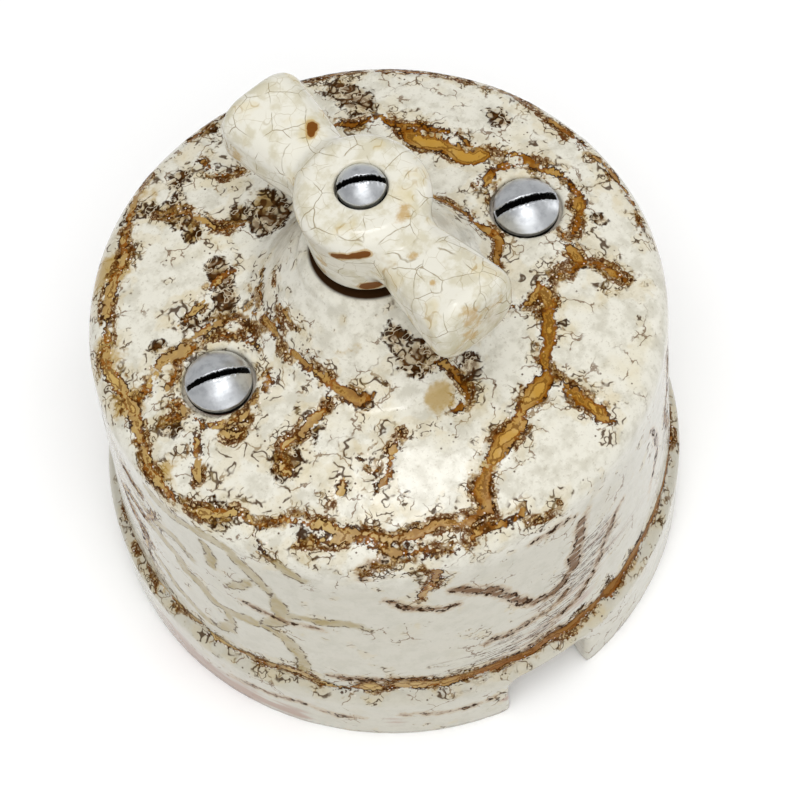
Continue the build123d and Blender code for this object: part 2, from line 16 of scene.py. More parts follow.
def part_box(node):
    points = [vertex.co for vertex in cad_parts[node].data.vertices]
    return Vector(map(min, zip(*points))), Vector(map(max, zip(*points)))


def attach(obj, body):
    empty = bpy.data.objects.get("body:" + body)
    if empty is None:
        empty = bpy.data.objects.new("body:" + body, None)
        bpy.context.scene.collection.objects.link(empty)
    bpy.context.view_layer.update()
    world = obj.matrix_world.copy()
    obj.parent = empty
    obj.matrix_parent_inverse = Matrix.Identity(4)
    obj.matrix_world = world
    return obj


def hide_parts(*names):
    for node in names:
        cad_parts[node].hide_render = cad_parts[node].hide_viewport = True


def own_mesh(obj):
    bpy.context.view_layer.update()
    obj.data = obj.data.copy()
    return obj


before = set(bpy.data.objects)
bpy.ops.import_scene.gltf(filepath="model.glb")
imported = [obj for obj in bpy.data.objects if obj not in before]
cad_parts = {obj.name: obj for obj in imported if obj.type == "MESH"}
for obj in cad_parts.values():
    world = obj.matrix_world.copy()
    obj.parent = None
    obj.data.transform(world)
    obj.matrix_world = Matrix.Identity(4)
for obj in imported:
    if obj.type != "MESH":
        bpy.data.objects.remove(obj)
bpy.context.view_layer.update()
MM = 0.001
noise.seed_set(7)            # otherwise noise_vector gives other values in every run


def box_mm(node):
    """Lowest and highest corner of a CAD node, in millimetres."""
    low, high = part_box(node)
    return np.array(low) / MM, np.array(high) / MM


# ---- Dimensions ---------------------------------------------------------------------------
COVER_RADIUS = box_mm("cover")[1][0]
BOSS_TOP = box_mm("cover")[1][2]
SKIRT_TOP = 10.2
WALL_FOOT_RADIUS = 33.75
WALL_TOP_RADIUS = 32.35
WALL_TOP = 39.8
TOP_EDGE = 43.0
INSIDE_RADIUS = 31.0
CEILING = 40.5
BORE_RADIUS = 4.2
RECESS_RADIUS = 4.05
RECESS_FLOOR = 43.0
SCREW_HOLE_RADIUS = 2.3
NOTCH_HALF_WIDTH = 5.3
NOTCH_TOP = 8.7
NOTCH_CORNER = 2.0
NOTCH_END = -20.0            # the notch is cut in front of this Y
BEYOND_AXIS = -6.0           # outlines of turned shapes run past the axis, so it is no edge

SCREW_TOP = box_mm("cover_screws")[1][2]
SCREW_FOOT = box_mm("cover_screws")[0][2]
SCREW_HEAD_RADIUS = 3.7
SCREW_DISTANCE = box_mm("cover_screws")[1][0] - SCREW_HEAD_RADIUS
SLOT_TURN = -15.0
BURR = 0.07                  # how far the worn edges of a slot stand up

KNOB_TURN = 9.4
HUB_BOTTOM, HUB_TOP = box_mm("knob")[0][2], box_mm("knob")[1][2]
HUB_BOTTOM_RADIUS = 6.2
HUB_TOP_RADIUS = 7.3
GRIP_HEIGHT = 60.9
GRIP_LENGTH = 18.2
KNOB_HOLE_RADIUS = 1.7
COUNTERBORE_RADIUS = 2.75
COUNTERBORE_FLOOR = 64.0
INSERT_RADIUS = 4.13
INSERT_TOP = box_mm("knob_insert")[1][2] + 0.05
KNOB_SCREW_TOP = box_mm("knob_screw")[1][2]
KNOB_SCREW_FOOT = box_mm("knob_screw")[0][2]


# ---- Signed distances ---------------------------------------------------------------------
def arc(start, via, end, count=9):
    """Points of the circle through three points, from just after start to end."""
    (ax, ay), (bx, by), (cx, cy) = start, via, end
    a, b, c = ax * ax + ay * ay, bx * bx + by * by, cx * cx + cy * cy
    area = 2 * (ax * (by - cy) + bx * (cy - ay) + cx * (ay - by))
    x = (a * (by - cy) + b * (cy - ay) + c * (ay - by)) / area
    y = (a * (cx - bx) + b * (ax - cx) + c * (bx - ax)) / area
    first, middle, last = (math.atan2(q - y, p - x) for p, q in (start, via, end))
    turn = (last - first) % math.tau
    if (middle - first) % math.tau > turn:
        turn -= math.tau
    radius = math.hypot(ax - x, ay - y)
    angles = first + turn * np.linspace(0, 1, count)[1:]
    return [(x + radius * math.cos(t), y + radius * math.sin(t)) for t in angles]


def outline(start, *steps):
    """Points of an outline: a step is a point, or a pair of points that an arc passes and ends at."""
    points = [start]
    for step in steps:
        if isinstance(step[0], tuple):
            points += arc(points[-1], *step)
        else:
            points.append(step)
    return np.array(points)


def polygon_distance(x, y, corners):
    """Signed distance from points to a closed polygon."""
    nearest = np.full(x.shape, 1e9)
    inside = np.zeros(x.shape, bool)
    for (ax, ay), (bx, by) in zip(corners, np.roll(corners, -1, axis=0)):
        ex, ey = bx - ax, by - ay
        along = np.clip(((x - ax) * ex + (y - ay) * ey) / max(ex * ex + ey * ey, 1e-12), 0, 1)
        nearest = np.minimum(nearest, (x - ax - along * ex) ** 2 + (y - ay - along * ey) ** 2)
        if ay != by:
            crosses = (y < ay) != (y < by)
            inside ^= crosses & (x < ax + (y - ay) * ex / ey)
    return np.where(inside, -1, 1) * np.sqrt(nearest)


def turned(corners, spacing=0.1, soften=2):
    """Distance function of a solid turned about Z, from its outline of radii and heights.
    Its edges are softened by averaging the distances over a few spacings."""
    low = corners.min(0) - 2
    count = np.ceil((corners.max(0) + 2 - low) / spacing).astype(int) + 1
    grid = [low[i] + spacing * np.arange(count[i]) for i in (0, 1)]
    table = polygon_distance(*np.meshgrid(*grid, indexing="ij"), corners)
    for _ in range(soften):
        inner = table[1:-1, 1:-1]
        sides = table[:-2, 1:-1] + table[2:, 1:-1] + table[1:-1, :-2] + table[1:-1, 2:]
        table[1:-1, 1:-1] = (inner * 2 + sides) / 6

    def distance(radius, z):
        u = np.clip((radius - low[0]) / spacing, 0, count[0] - 1.001)
        v = np.clip((z - low[1]) / spacing, 0, count[1] - 1.001)
        i, j = u.astype(int), v.astype(int)
        u, v = u - i, v - j
        left = table[i, j] * (1 - v) + table[i, j + 1] * v
        right = table[i + 1, j] * (1 - v) + table[i + 1, j + 1] * v
        return left * (1 - u) + right * u

    return distance


def both(a, b, rounding):
    """Intersection of two shapes with a rounded edge."""
    near = np.maximum(rounding - np.abs(a - b), 0) / rounding
    return np.maximum(a, b) + near * near * rounding / 4


def either(a, b, rounding):
    """Union of two shapes with a filled corner."""
    return -both(-a, -b, rounding)


def rounded_box(u, v, half_u, half_v, corner):
    """Distance to a rounded rectangle."""
    du, dv = np.abs(u) - half_u + corner, np.abs(v) - half_v + corner
    outside = np.hypot(np.maximum(du, 0), np.maximum(dv, 0))
    return outside + np.minimum(np.maximum(du, dv), 0) - corner


# ---- Meshing ------------------------------------------------------------------------------
def shifted(grid, offset):
    """The part of a grid of nodes that is each cell's corner at that offset."""
    return grid[tuple(slice(o, o + n - 1) for o, n in zip(offset, grid.shape))]


def surface_net(values):
    """Vertices, in grid steps, and quads of the surface where a grid of values is 0."""
    inside = values < 0
    offsets = [(i, j, k) for i in (0, 1) for j in (0, 1) for k in (0, 1)]
    total = sum(shifted(inside, o).astype(np.int8) for o in offsets)
    cells = np.argwhere((total > 0) & (total < 8))
    index = np.full(total.shape, -1)
    index[tuple(cells.T)] = np.arange(len(cells))
    sums, counts, quads = np.zeros((len(cells), 3)), np.zeros(len(cells)), []
    for axis in range(3):
        others = [a for a in range(3) if a != axis]
        for i, j in ((0, 0), (0, 1), (1, 0), (1, 1)):
            start = cells.copy()
            start[:, others[0]] += i
            start[:, others[1]] += j
            end = start.copy()
            end[:, axis] += 1
            a, b = values[tuple(start.T)], values[tuple(end.T)]
            cut = np.flatnonzero((a < 0) != (b < 0))
            point = start[cut].astype(float)
            point[:, axis] += a[cut] / (a[cut] - b[cut])
            sums[cut] += point
            counts[cut] += 1
        quads.append(axis_quads(inside, index, axis, others))
    return sums / counts[:, None], np.concatenate(quads)


def axis_quads(inside, index, axis, others):
    """One quad round each grid edge along an axis that crosses the surface."""
    low = inside.take(range(inside.shape[axis] - 1), axis)
    high = inside.take(range(1, inside.shape[axis]), axis)
    edges = np.argwhere(low != high)
    room = np.array(index.shape)
    edges = edges[np.all((edges[:, others] > 0) & (edges[:, others] < room[others]), axis=1)]
    corners = []
    for i, j in ((1, 1), (0, 1), (0, 0), (1, 0)):
        cell = edges.copy()
        cell[:, others[0]] -= i
        cell[:, others[1]] -= j
        corners.append(index[tuple(cell.T)])
    quads = np.stack(corners, axis=1)
    flip = inside[tuple(edges.T)] == (axis == 1)
    quads[flip] = quads[flip][:, ::-1]
    return quads


def gradient(distance, points, reach=0.02):
    """Direction in which a distance grows at each point."""
    parts = []
    for axis in range(3):
        shift = np.zeros(3)
        shift[axis] = reach
        parts.append(distance(points + shift) - distance(points - shift))
    return np.stack(parts, axis=1) / (2 * reach)


def implicit_mesh(distance, low, high, step):
    """Points on the surface of a distance function inside a box, their normals, and quads."""
    axes = [np.arange(a - step, b + 2 * step, step) for a, b in zip(low, high)]
    shape = tuple(len(a) for a in axes)
    nodes = np.stack(np.meshgrid(*axes, indexing="ij"), axis=-1).reshape(-1, 3)
    values = distance(nodes).reshape(shape)
    points, quads = surface_net(values)
    points = points * step + np.array([a[0] for a in axes])
    for _ in range(3):
        slope = gradient(distance, points)
        length = np.maximum((slope ** 2).sum(1), 0.05)
        move = slope * (distance(points) / length)[:, None]
        points -= np.clip(move, -step / 2, step / 2)
    slope = gradient(distance, points)
    return points, slope / np.maximum(np.linalg.norm(slope, axis=1), 1e-6)[:, None], quads


def make_piece(name, points, quads, body, slot, replaced, **painted):
    """A smooth mesh object with painted attributes, which stands for CAD nodes."""
    mesh = bpy.data.meshes.new(name)
    mesh.from_pydata((points * MM).tolist(), [], quads.tolist())
    mesh.polygons.foreach_set("use_smooth", [True] * len(mesh.polygons))
    for attribute, values in painted.items():
        layer = mesh.attributes.new(attribute, "FLOAT", "POINT")
        layer.data.foreach_set("value", np.asarray(values, np.float32))
    mesh.update()
    piece = bpy.data.objects.new(name, mesh)
    bpy.context.scene.collection.objects.link(piece)
    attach(piece, body)
    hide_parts(*replaced)
    return piece


# ---- Cover --------------------------------------------------------------------------------
OUTER = (
    (COVER_RADIUS, 0.0), (COVER_RADIUS, 9.0),
    ((COVER_RADIUS - 0.37, 9.84), (WALL_FOOT_RADIUS, SKIRT_TOP)),
    (WALL_TOP_RADIUS, WALL_TOP),
    ((31.41, 42.06), (29.15, TOP_EDGE)),
    ((21.4, 44.4), (15.2, 44.9)),
    ((14.3, 45.1), (13.6, 45.6)),
    ((13.2, 46.0), (12.6, 46.4)),
    ((10.1, 49.7), (7.9, BOSS_TOP - 1.5)),
    ((7.46, BOSS_TOP - 0.44), (6.4, BOSS_TOP)),
)
INNER = (
    (BEYOND_AXIS, BOSS_TOP), (BEYOND_AXIS, 50.5), (6.0, 50.5), (9.0, CEILING),
    (INSIDE_RADIUS - 2, CEILING), (INSIDE_RADIUS, 26.0), (INSIDE_RADIUS, 0.0),
)
OUTER_LINE = outline(*OUTER)
WALL_LINE = OUTER_LINE[OUTER_LINE[:, 1] <= TOP_EDGE]
TOP_LINE = OUTER_LINE[OUTER_LINE[:, 1] >= WALL_TOP]


def cover_distance():
    """Distance function of the cover, with glaze-rounded edges at its holes and notch."""
    body = turned(outline(*OUTER, *INNER))

    def distance(p):
        x, y, z = p.T
        radius = np.hypot(x, y)
        d = body(radius, z)
        d = both(d, BORE_RADIUS - radius, 0.5)
        for side in (-1, 1):
            from_screw = np.hypot(x - side * SCREW_DISTANCE, y)
            d = both(d, -np.maximum(from_screw - RECESS_RADIUS, RECESS_FLOOR - z), 0.6)
            d = both(d, SCREW_HOLE_RADIUS - from_screw, 0.3)
        notch = rounded_box(x, z, NOTCH_HALF_WIDTH, NOTCH_TOP, NOTCH_CORNER)
        return both(d, -np.maximum(notch, y - NOTCH_END), 0.8)

    return distance


def around(azimuth, radius, height):
    """Point at an azimuth in degrees round Z."""
    turn = np.radians(azimuth)
    return np.stack([radius * np.cos(turn), radius * np.sin(turn), height], axis=-1)


def on_top(azimuth, radius):
    """Point on the cover's top."""
    return around(azimuth, radius, np.interp(radius, TOP_LINE[::-1, 0], TOP_LINE[::-1, 1]))


def on_wall(azimuth, height):
    """Point on the cover's wall or skirt."""
    return around(azimuth, np.interp(height, WALL_LINE[:, 1], WALL_LINE[:, 0]), height)


# Veins as half width, then azimuth and radius of each point on the top.
TOP_VEINS = (
    (0.95, (263, 29), (264.5, 26), (269, 24.6), (276, 23.2), (285, 21.6), (296, 21.6), (300, 21.2)),
    (0.7, (300, 21.2), (305, 20.4), (311, 19.8), (319, 19), (330, 18.3)),
    (0.5, (329, 18.5), (322, 17.2), (318.5, 15.4)),
    (0.6, (329, 18.5), (332, 20.2), (333, 21.8), (336, 23.4)),
    (0.5, (336, 23.4), (341, 22.2), (347, 22.2)),
    (0.5, (336, 23.4), (334.5, 25.3), (332, 27), (330.3, 29)),
    (0.7, (299, 21.6), (297, 24), (296.5, 26), (296.5, 28.4), (296, 30.6)),
    (0.45, (388, 13.2), (375, 13.4), (364, 14), (354, 14.7), (345, 14.2), (334, 13.6)),
    (0.5, (378, 21.6), (376, 19.4), (370, 17.2)),
    (0.25, (70, 22.8), (59, 22.8), (49, 22.5), (39, 22.4), (27, 22), (18, 22.3)),
    (1.1, (50, 21.2), (43, 20.6), (35, 20.4), (28, 20.7), (21, 21.3)),
    (0.3, (18, 22.3), (14, 24.2), (9, 25.8)),
    (0.5, (162, 13.4), (172, 12.7), (186, 12.3), (208, 12.5), (222, 13.1), (232, 13.8), (240, 13.5)),
    (0.3, (271, 12.4), (276, 13.4), (278, 15.2), (274, 17.2), (267, 17.6)),
    (0.12, (136, 12.2), (150, 12.4), (165, 12.2), (184, 11.6), (204, 11.7)),
    (0.12, (140, 13.4), (152, 13.7), (163, 14.2), (176, 14.4)),
    (0.1, (150, 10.8), (170, 10.5), (190, 10.6)),
    (0.45, (218, 14), (216, 16.4), (214, 19), (210.5, 20.6), (213, 22.8), (217, 24.2)),
    (0.45, (188.5, 25.4), (191.5, 26.6), (194.5, 27.8), (198, 28.8)),
    (0.35, (178, 24.2), (182, 25.2), (182, 27.6)),
    (0.3, (190, 21.8), (193, 22.8), (199, 22)),
    (0.4, (230, 22.2), (230, 24), (227.5, 25.8)),
    (0.4, (247, 17.6), (245, 20), (243, 22), (240.5, 24), (239, 25.2)),
    (0.18, (233, 20.4), (237, 21), (240, 22.4)),
    (0.5, (114, 31.2), (120, 31), (128, 30.2), (138, 29.3), (146, 29.6), (152, 30.2)),
    (0.6, (152, 30.2), (160, 30.6), (168, 30), (173, 29.6), (182, 30.4), (196, 32)),
    (0.45, (173, 29.6), (170.5, 27), (167, 24.6), (163, 21.4), (161, 18), (159, 14.8)),
    (0.4, (197, 31.9), (203, 31.4), (208, 30), (214, 29.6), (221, 28.4)),
    (0.4, (219, 28.2), (225, 28.3), (231, 28.6), (240, 28.7), (247, 28.8), (255, 28.7), (263, 28.7)),
    (0.3, (222, 30.4), (228, 29.5), (235, 29.5), (241, 30.2), (245, 31), (251, 31.2), (256, 31.2)),
    (0.3, (256, 31.2), (260, 30.6), (265, 30.6), (269, 30.2), (270.5, 29.2)),
    (0.15, (265, 30.8), (270, 31.8), (275, 31.9)),
    (0.15, (236, 32.2), (238, 31.9), (243, 31.4)),
    (0.25, (104, 31), (84, 31), (60, 31), (45, 30.9), (30, 31), (15, 30.8), (0, 31.2), (-18, 31.2)),
    (0.3, (118, 17), (122, 20), (120, 24), (124, 28)),
    (0.3, (138, 16), (146, 18.5), (158, 21.5)),
    (0.3, (100, 22), (106, 24.5), (104, 28)),
)
# Veins as half width, then azimuth and height of each point on the wall.
WALL_VEINS = (
    (0.5, (247.5, 41.5), (249, 39), (248, 36.5), (246, 34)),
    (0.3, (215, 42.5), (216.5, 41.5), (219, 40.5)),
    (0.85, (282, 11.4), (272, 12), (262, 12), (250, 12), (238, 12), (228, 11.4)),
    (0.45, (228, 11), (219, 12.5), (208, 11), (196, 11.4), (180, 11)),
    (1.15, (280, 11.4), (288, 11.6), (298, 12), (310, 12.2), (325, 12), (338, 11.6)),
    (0.5, (336, 11.6), (350, 11.2), (370, 11)),
    (0.4, (12, 11), (34, 11.6), (60, 11), (92, 11.4), (120, 11), (150, 11.4), (180, 11)),
    (0.5, (318, 38.5), (320, 33), (316, 27), (320, 20), (323, 12)),
)
# Pale lines without a dark edge on the front left of the wall, the same way.
PALE_LINES = (
    (0.5, (187, 38), (196, 38.5), (203, 39.5), (208, 39), (211.5, 36), (215.5, 33.5), (217.5, 31)),
    (0.8, (217.5, 31), (218, 28.5), (216.5, 25.5), (213.5, 23)),
    (0.45, (181.5, 28.5), (188.5, 28.5), (193, 27.5), (196.5, 25), (200.5, 22.5), (204, 21.5)),
    (0.5, (204, 21.5), (208.5, 22), (213.5, 23), (218, 21), (220, 18), (221, 15), (220.5, 12.5)),
    (0.35, (219, 40.5), (221, 39), (224, 37.5)),
    (0.3, (207, 29.5), (210, 31), (212.5, 34)),
    (0.35, (203, 37), (203.5, 34), (202.5, 31.5)),
    (0.3, (202, 15), (205, 18.5), (206, 21.5)),
    (0.3, (217, 27), (222, 28), (230, 28.5), (236, 27)),
    (0.35, (172, 36), (178, 33), (186, 31), (194, 32), (199, 30)),
    (0.3, (185, 20), (192, 17), (199, 15), (206, 16)),
)
# Brown and purple-grey streaks, the same way.
STREAKS = (
    (0.6, (251.5, 35), (257.5, 33), (263, 28.5), (267, 24.5), (271, 23.5), (276, 24.5)),
    (0.7, (276, 24.5), (279, 28), (280.5, 33), (283, 37.5)),
    (0.35, (239, 34.5), (243.5, 32), (249, 31), (253.5, 31)),
    (0.3, (292, 30), (287, 25), (280, 18.5), (272, 16.5)),
    (0.35, (258, 18.5), (265, 19.5), (272, 19.5), (276, 21.5)),
    (0.22, (235.5, 39.5), (235.5, 41.5), (239, 42), (242, 42)),
    (0.2, (210, 27), (218, 26.4), (227, 25.4)),
    (0.6, (284, 12.5), (276, 13), (268, 13.2), (260, 12.6), (252, 12.2)),
    (0.4, (252, 12.2), (244, 13.4), (236, 14), (226, 14)),
    (0.2, (268, 38), (274, 38.8), (279, 37.4)),
    (0.3, (305, 34), (308, 27), (303, 19)),
    (0.3, (335, 36), (338, 28), (334, 19)),
    (0.22, (205, 5), (218, 6), (232, 4.6)),
    (0.2, (240, 6.5), (250, 5.2), (258, 6)),
)
SCREW_RINGS = ((1, 6.0, -60, 125, 0.48), (-1, 5.3, 20, 330, 0.34))  # side, radius, from, to, width
# Blobs on the top as azimuth, radius, size and strength.
DARK_PATCHES = (
    (67, 28.4, 2.6, 1.0), (62, 25.8, 2.8, 1.0), (75, 23.4, 1.4, 1.0), (27, 27, 2.2, 1.0),
    (348, 26.8, 1.5, 0.9), (104, 16.4, 3.4, 0.9), (110, 14.6, 2.8, 0.9), (114, 19, 1.8, 0.7),
    (126, 22, 1.8, 1.0), (120, 26, 2.2, 0.9), (122, 24.4, 2.0, 0.8), (135.5, 18, 1.8, 1.0),
    (142, 16.6, 2.0, 0.9), (150, 16.2, 1.8, 0.9), (157, 17, 1.6, 0.9), (157, 20.4, 1.8, 0.9),
    (161.5, 24.6, 1.5, 0.9), (112, 27.6, 2.4, 0.8), (124, 30, 2.4, 0.9), (136, 29, 2.0, 0.6),
    (214, 22.6, 2.6, 1.0), (218, 18, 1.6, 0.7), (285, 14.3, 2.0, 1.0), (278, 15.4, 1.3, 0.9),
    (254, 9.4, 2.0, 1.0), (260, 11.4, 2.3, 1.0), (270, 11.8, 2.3, 1.0), (234, 14, 1.6, 1.0),
    (298, 22.4, 1.6, 0.9), (336, 22.6, 1.4, 0.8), (316, 21, 1.4, 0.7), (184, 26.8, 1.8, 0.8),
    (198, 22, 1.4, 0.8), (98, 30, 2.4, 0.7), (205, 30.6, 2.4, 0.9), (224, 30, 2.0, 0.7),
    (243, 30.4, 2.2, 0.5), (262, 30.4, 1.4, 0.8), (40, 22.5, 1.4, 0.6), (245, 24.6, 1.2, 0.6),
)
OCHRE_STAINS = (
    (140, 31, 5.0, 0.7), (160, 30.5, 4.0, 0.7), (120, 30.5, 4.0, 0.6), (173, 29.6, 3.2, 0.9),
    (40, 20.8, 3.0, 0.7), (230, 10.2, 1.8, 0.5), (215, 11, 1.8, 0.4),
    (266, 15.2, 2.6, 1.0), (332, 30, 2.8, 0.5), (345, 21, 2.4, 0.4), (190, 30.5, 3.0, 0.6),
    (126, 22, 1.8, 1.0), (104, 17.4, 3.4, 0.7), (268, 24.6, 1.8, 0.7), (138, 29.4, 1.8, 0.9),
)
# Blobs on the wall as azimuth, height, size and strength.
FOOT_PATCHES = (
    (202, 11.8, 1.6, 0.7), (216, 12.2, 1.7, 0.8), (232, 12.4, 1.6, 0.8), (239, 12.8, 1.7, 0.9),
    (246, 12.8, 1.6, 0.8), (254, 12.6, 1.6, 0.8), (262, 12.6, 1.6, 0.8), (270, 12.8, 1.8, 0.9),
    (278, 13.2, 1.9, 1.0), (287, 13.4, 2.0, 0.9), (298, 13.4, 1.8, 0.8), (320, 13.0, 1.8, 0.8),
)
SMEARS = (
    (283, 27, 6.0, 1.0), (276, 20, 7.0, 1.0), (262, 14.5, 6.0, 1.0), (300, 22, 7.0, 0.4),
    (248, 13, 5.0, 0.8), (312, 30, 6.0, 0.3), (225, 14, 5.0, 0.5), (335, 22, 9.0, 0.45),
    (60, 22, 10.0, 0.6), (110, 26, 9.0, 0.5), (150, 18, 8.0, 0.5),
)
RUSTS = (
    (196, 1.5, 5.0, 1.0), (207, 1.5, 5.0, 1.0), (218, 2.0, 4.0, 0.8), (238, 4.0, 3.0, 0.6),
    (261, 4.0, 2.0, 0.9), (186, 3.0, 6.0, 0.8), (280, 16, 4.0, 0.5), (318, 14, 5.0, 0.5),
    (30, 3.0, 6.0, 0.6), (100, 2.0, 6.0, 0.7), (140, 3.0, 6.0, 0.6),
)


def curve_through(points, spacing=0.35):
    """Points along a smooth curve through given points."""
    points = np.array(points, float)
    padded = np.vstack([2 * points[0] - points[1], points, 2 * points[-1] - points[-2]])
    made = []
    for a, b, c, d in zip(padded[:-3], padded[1:-2], padded[2:-1], padded[3:]):
        length = max(abs(c - b).max(), np.radians(abs(c[0] - b[0])) * 33)
        for t in np.linspace(0, 1, int(length / spacing) + 2)[:-1]:
            made.append(0.5 * (2 * b + (c - a) * t + (2 * a - 5 * b + 4 * c - d) * t ** 2
                               + (3 * b - a - 3 * c + d) * t ** 3))
    return np.array(made)


def wander(points, reach, length):
    """The points moved a little, so that a smooth line runs unevenly."""
    return np.array([p + reach * np.array(noise.noise_vector(Vector(p) / length)) for p in points])


def vein_samples(routes, place):
    """Points along each vein and its half width there, thinner towards the ends."""
    samples = []
    for half_width, *route in routes:
        line = curve_through(route)
        points = wander(place(line[:, 0], line[:, 1]), 0.9, 3.1)
        taper = np.minimum(np.minimum(np.arange(len(line)), np.arange(len(line))[::-1]) / 7, 1)
        for point, share in zip(points, taper):
            uneven = 1 + 0.55 * noise.noise(Vector(point) / 2.3)
            samples.append((point, half_width * uneven * (0.3 + 0.6 * share)))
    return samples


def ring_samples():
    """Veins that run round the screw recesses."""
    samples = []
    for side, radius, first, last, half_width in SCREW_RINGS:
        turn = np.radians(np.arange(first, last, 3.5))
        x = side * SCREW_DISTANCE + radius * np.cos(turn)
        y = radius * np.sin(turn)
        flat = on_top(np.degrees(np.arctan2(y, x)), np.hypot(x, y))
        for point in wander(flat, 0.8, 2.4):
            samples.append((point, half_width * (0.8 + 0.9 * noise.noise(Vector(point) / 2.0))))
    return samples


def back_wall_veins():
    """Branching veins for the sides and back, walked down the wall from the shoulder."""
    dice = np.random.default_rng(11)
    routes = []
    for start in np.arange(-12, 182, 21):
        azimuth, height = start + dice.uniform(-7, 7), dice.uniform(34, 41)
        route = [(azimuth, height)]
        while height > 16 and len(route) < 7:
            azimuth += dice.uniform(-11, 11)
            height -= dice.uniform(2, 6)
            route.append((azimuth, height))
        routes.append((dice.uniform(0.25, 0.5), *route))
        fork = route[len(route) // 2]
        end = (fork[0] + dice.choice((-1, 1)) * dice.uniform(8, 18), fork[1] - dice.uniform(1, 7))
        routes.append((dice.uniform(0.2, 0.35), fork, end))
    return routes


def distance_to(samples, points):
    """Distance from each point to the edge of the nearest vein, less than 0 inside it, at most 9."""
    tree = KDTree(len(samples))
    for number, (place, _) in enumerate(samples):
        tree.insert(place, number)
    tree.balance()
    found = (tree.find(p) for p in points)
    return np.minimum([gap - samples[number][1] for _, number, gap in found], 9)


def blobs(spots, place, points):
    """Sum of soft round spots, at most 1."""
    total = np.zeros(len(points))
    for azimuth, where, size, strength in spots:
        gap = np.linalg.norm(points - place(azimuth, where), axis=1)
        total += strength * np.exp(-(gap / size) ** 2 * 1.6)
    return np.clip(total, 0, 1)


def make_cover():
    """The glazed cover, with its veins pressed a little into the surface."""
    low, high = box_mm("cover")
    points, normals, quads = implicit_mesh(cover_distance(), low, high, step=0.56)
    veins = vein_samples(TOP_VEINS, on_top) + ring_samples()
    veins += vein_samples(WALL_VEINS + tuple(back_wall_veins()), on_wall)
    vein = distance_to(veins, points)
    gap = np.abs(polygon_distance(np.hypot(*points[:, :2].T), points[:, 2],
                                  outline(*OUTER, (0, BOSS_TOP), (0, 0))))
    outside = np.clip(1.6 - gap, 0, 1)
    hollow = 0.16 * np.clip(0.3 - vein, 0, 1) - 0.05 * np.exp(-((vein - 0.6) / 0.3) ** 2)
    uneven = np.array([noise.noise(Vector(p) / 9) + 0.4 * noise.noise(Vector(p) / 3.2)
                       for p in points])
    depth = outside * (hollow + 0.05 * (uneven + 1))
    return make_piece(
        "cover_shell", points - normals * depth[:, None], quads, "body", "glaze_cover", ("cover",),
        vein=vein, outside=outside,
        streak=distance_to(vein_samples(STREAKS, on_wall), points),
        pale=distance_to(vein_samples(PALE_LINES, on_wall), points),
        patch=blobs(DARK_PATCHES, on_top, points) + blobs(FOOT_PATCHES, on_wall, points),
        stain=blobs(OCHRE_STAINS, on_top, points),
        smear=blobs(SMEARS, on_wall, points), rust=blobs(RUSTS, on_wall, points))


# ---- Knob ---------------------------------------------------------------------------------
HUB = outline(
    (BEYOND_AXIS, HUB_BOTTOM), (HUB_BOTTOM_RADIUS - 0.7, HUB_BOTTOM),
    ((HUB_BOTTOM_RADIUS - 0.2, HUB_BOTTOM + 0.2), (HUB_BOTTOM_RADIUS, HUB_BOTTOM + 0.7)),
    (HUB_TOP_RADIUS, HUB_TOP - 2.2),
    ((HUB_TOP_RADIUS - 0.64, HUB_TOP - 0.64), (HUB_TOP_RADIUS - 2.2, HUB_TOP)),
    (BEYOND_AXIS, HUB_TOP),
)
GRIP_STATIONS = ((0, 7.8, 7.4), (7.5, 7.8, 7.4), (12.5, 9.5, 8.5), (GRIP_LENGTH, 10.8, 9.7))
# Brown spots as a place in the knob's own frame, with the grip along Y, then size and strength.
KNOB_SPOTS = (
    ((-6.4, -2.9, 63.2), 0.7, 1.1), ((-5.9, -3.9, 63.7), 0.7, 1.2), ((-5.2, -4.9, 64.1), 0.7, 1.2),
    ((-4.4, -5.6, 64.4), 0.65, 1.1), ((-4.2, -4.7, 56.4), 0.9, 1.3), ((-3.2, -5.4, 56.7), 0.9, 1.2),
    ((1.6, 9.7, 64.8), 0.7, 1.3), ((0.8, 9.0, 65.0), 0.6, 0.9),
    ((-6.3, 0.3, 56.5), 1.3, 0.55), ((-6.7, -0.6, 59.4), 1.0, 0.55),
    ((0.5, -5.7, 66.1), 1.1, 0.4), ((1.6, -5.0, 66.0), 0.9, 0.4),
    ((-1.2, -9.3, 64.8), 0.8, 0.42), ((-2.0, -13.1, 65.2), 0.55, 0.62),
    ((-1.4, -18.1, 64.1), 1.8, 0.42), ((-1.5, -17.8, 60.5), 2.4, 0.4), ((2.6, -18.0, 62.6), 1.8, 0.35),
    ((4.2, 14.5, 61), 2.2, 0.4), ((-4.6, 15.2, 60), 2.4, 0.4),
)


def knob_distance():
    """Distance function of the knob, with soft fillets where the arms leave the hub."""
    hub = turned(HUB)
    along, widths, heights = np.array(GRIP_STATIONS).T
    turn = math.radians(KNOB_TURN)
    end_bulge = 90.0

    def distance(p):
        x = p[:, 0] * math.cos(turn) + p[:, 1] * math.sin(turn)
        y = p[:, 1] * math.cos(turn) - p[:, 0] * math.sin(turn)
        z = p[:, 2]
        radius = np.hypot(x, y)
        reach = np.abs(y)
        half_width = np.interp(reach, along, widths) / 2
        half_height = np.interp(reach, along, heights) / 2
        section = rounded_box(x, z - GRIP_HEIGHT, half_width, half_height, 0.74 * half_height)
        bulge = (x * x + (z - GRIP_HEIGHT) ** 2) / end_bulge
        arms = both(section, reach + bulge - GRIP_LENGTH, 2.0)
        d = either(hub(radius, z), arms, 1.3)
        d = both(d, np.minimum(INSERT_TOP - z, INSERT_RADIUS - radius), 0.3)
        d = both(d, KNOB_HOLE_RADIUS - radius, 0.3)
        return both(d, -np.maximum(radius - COUNTERBORE_RADIUS, COUNTERBORE_FLOOR - z), 0.5)

    return distance


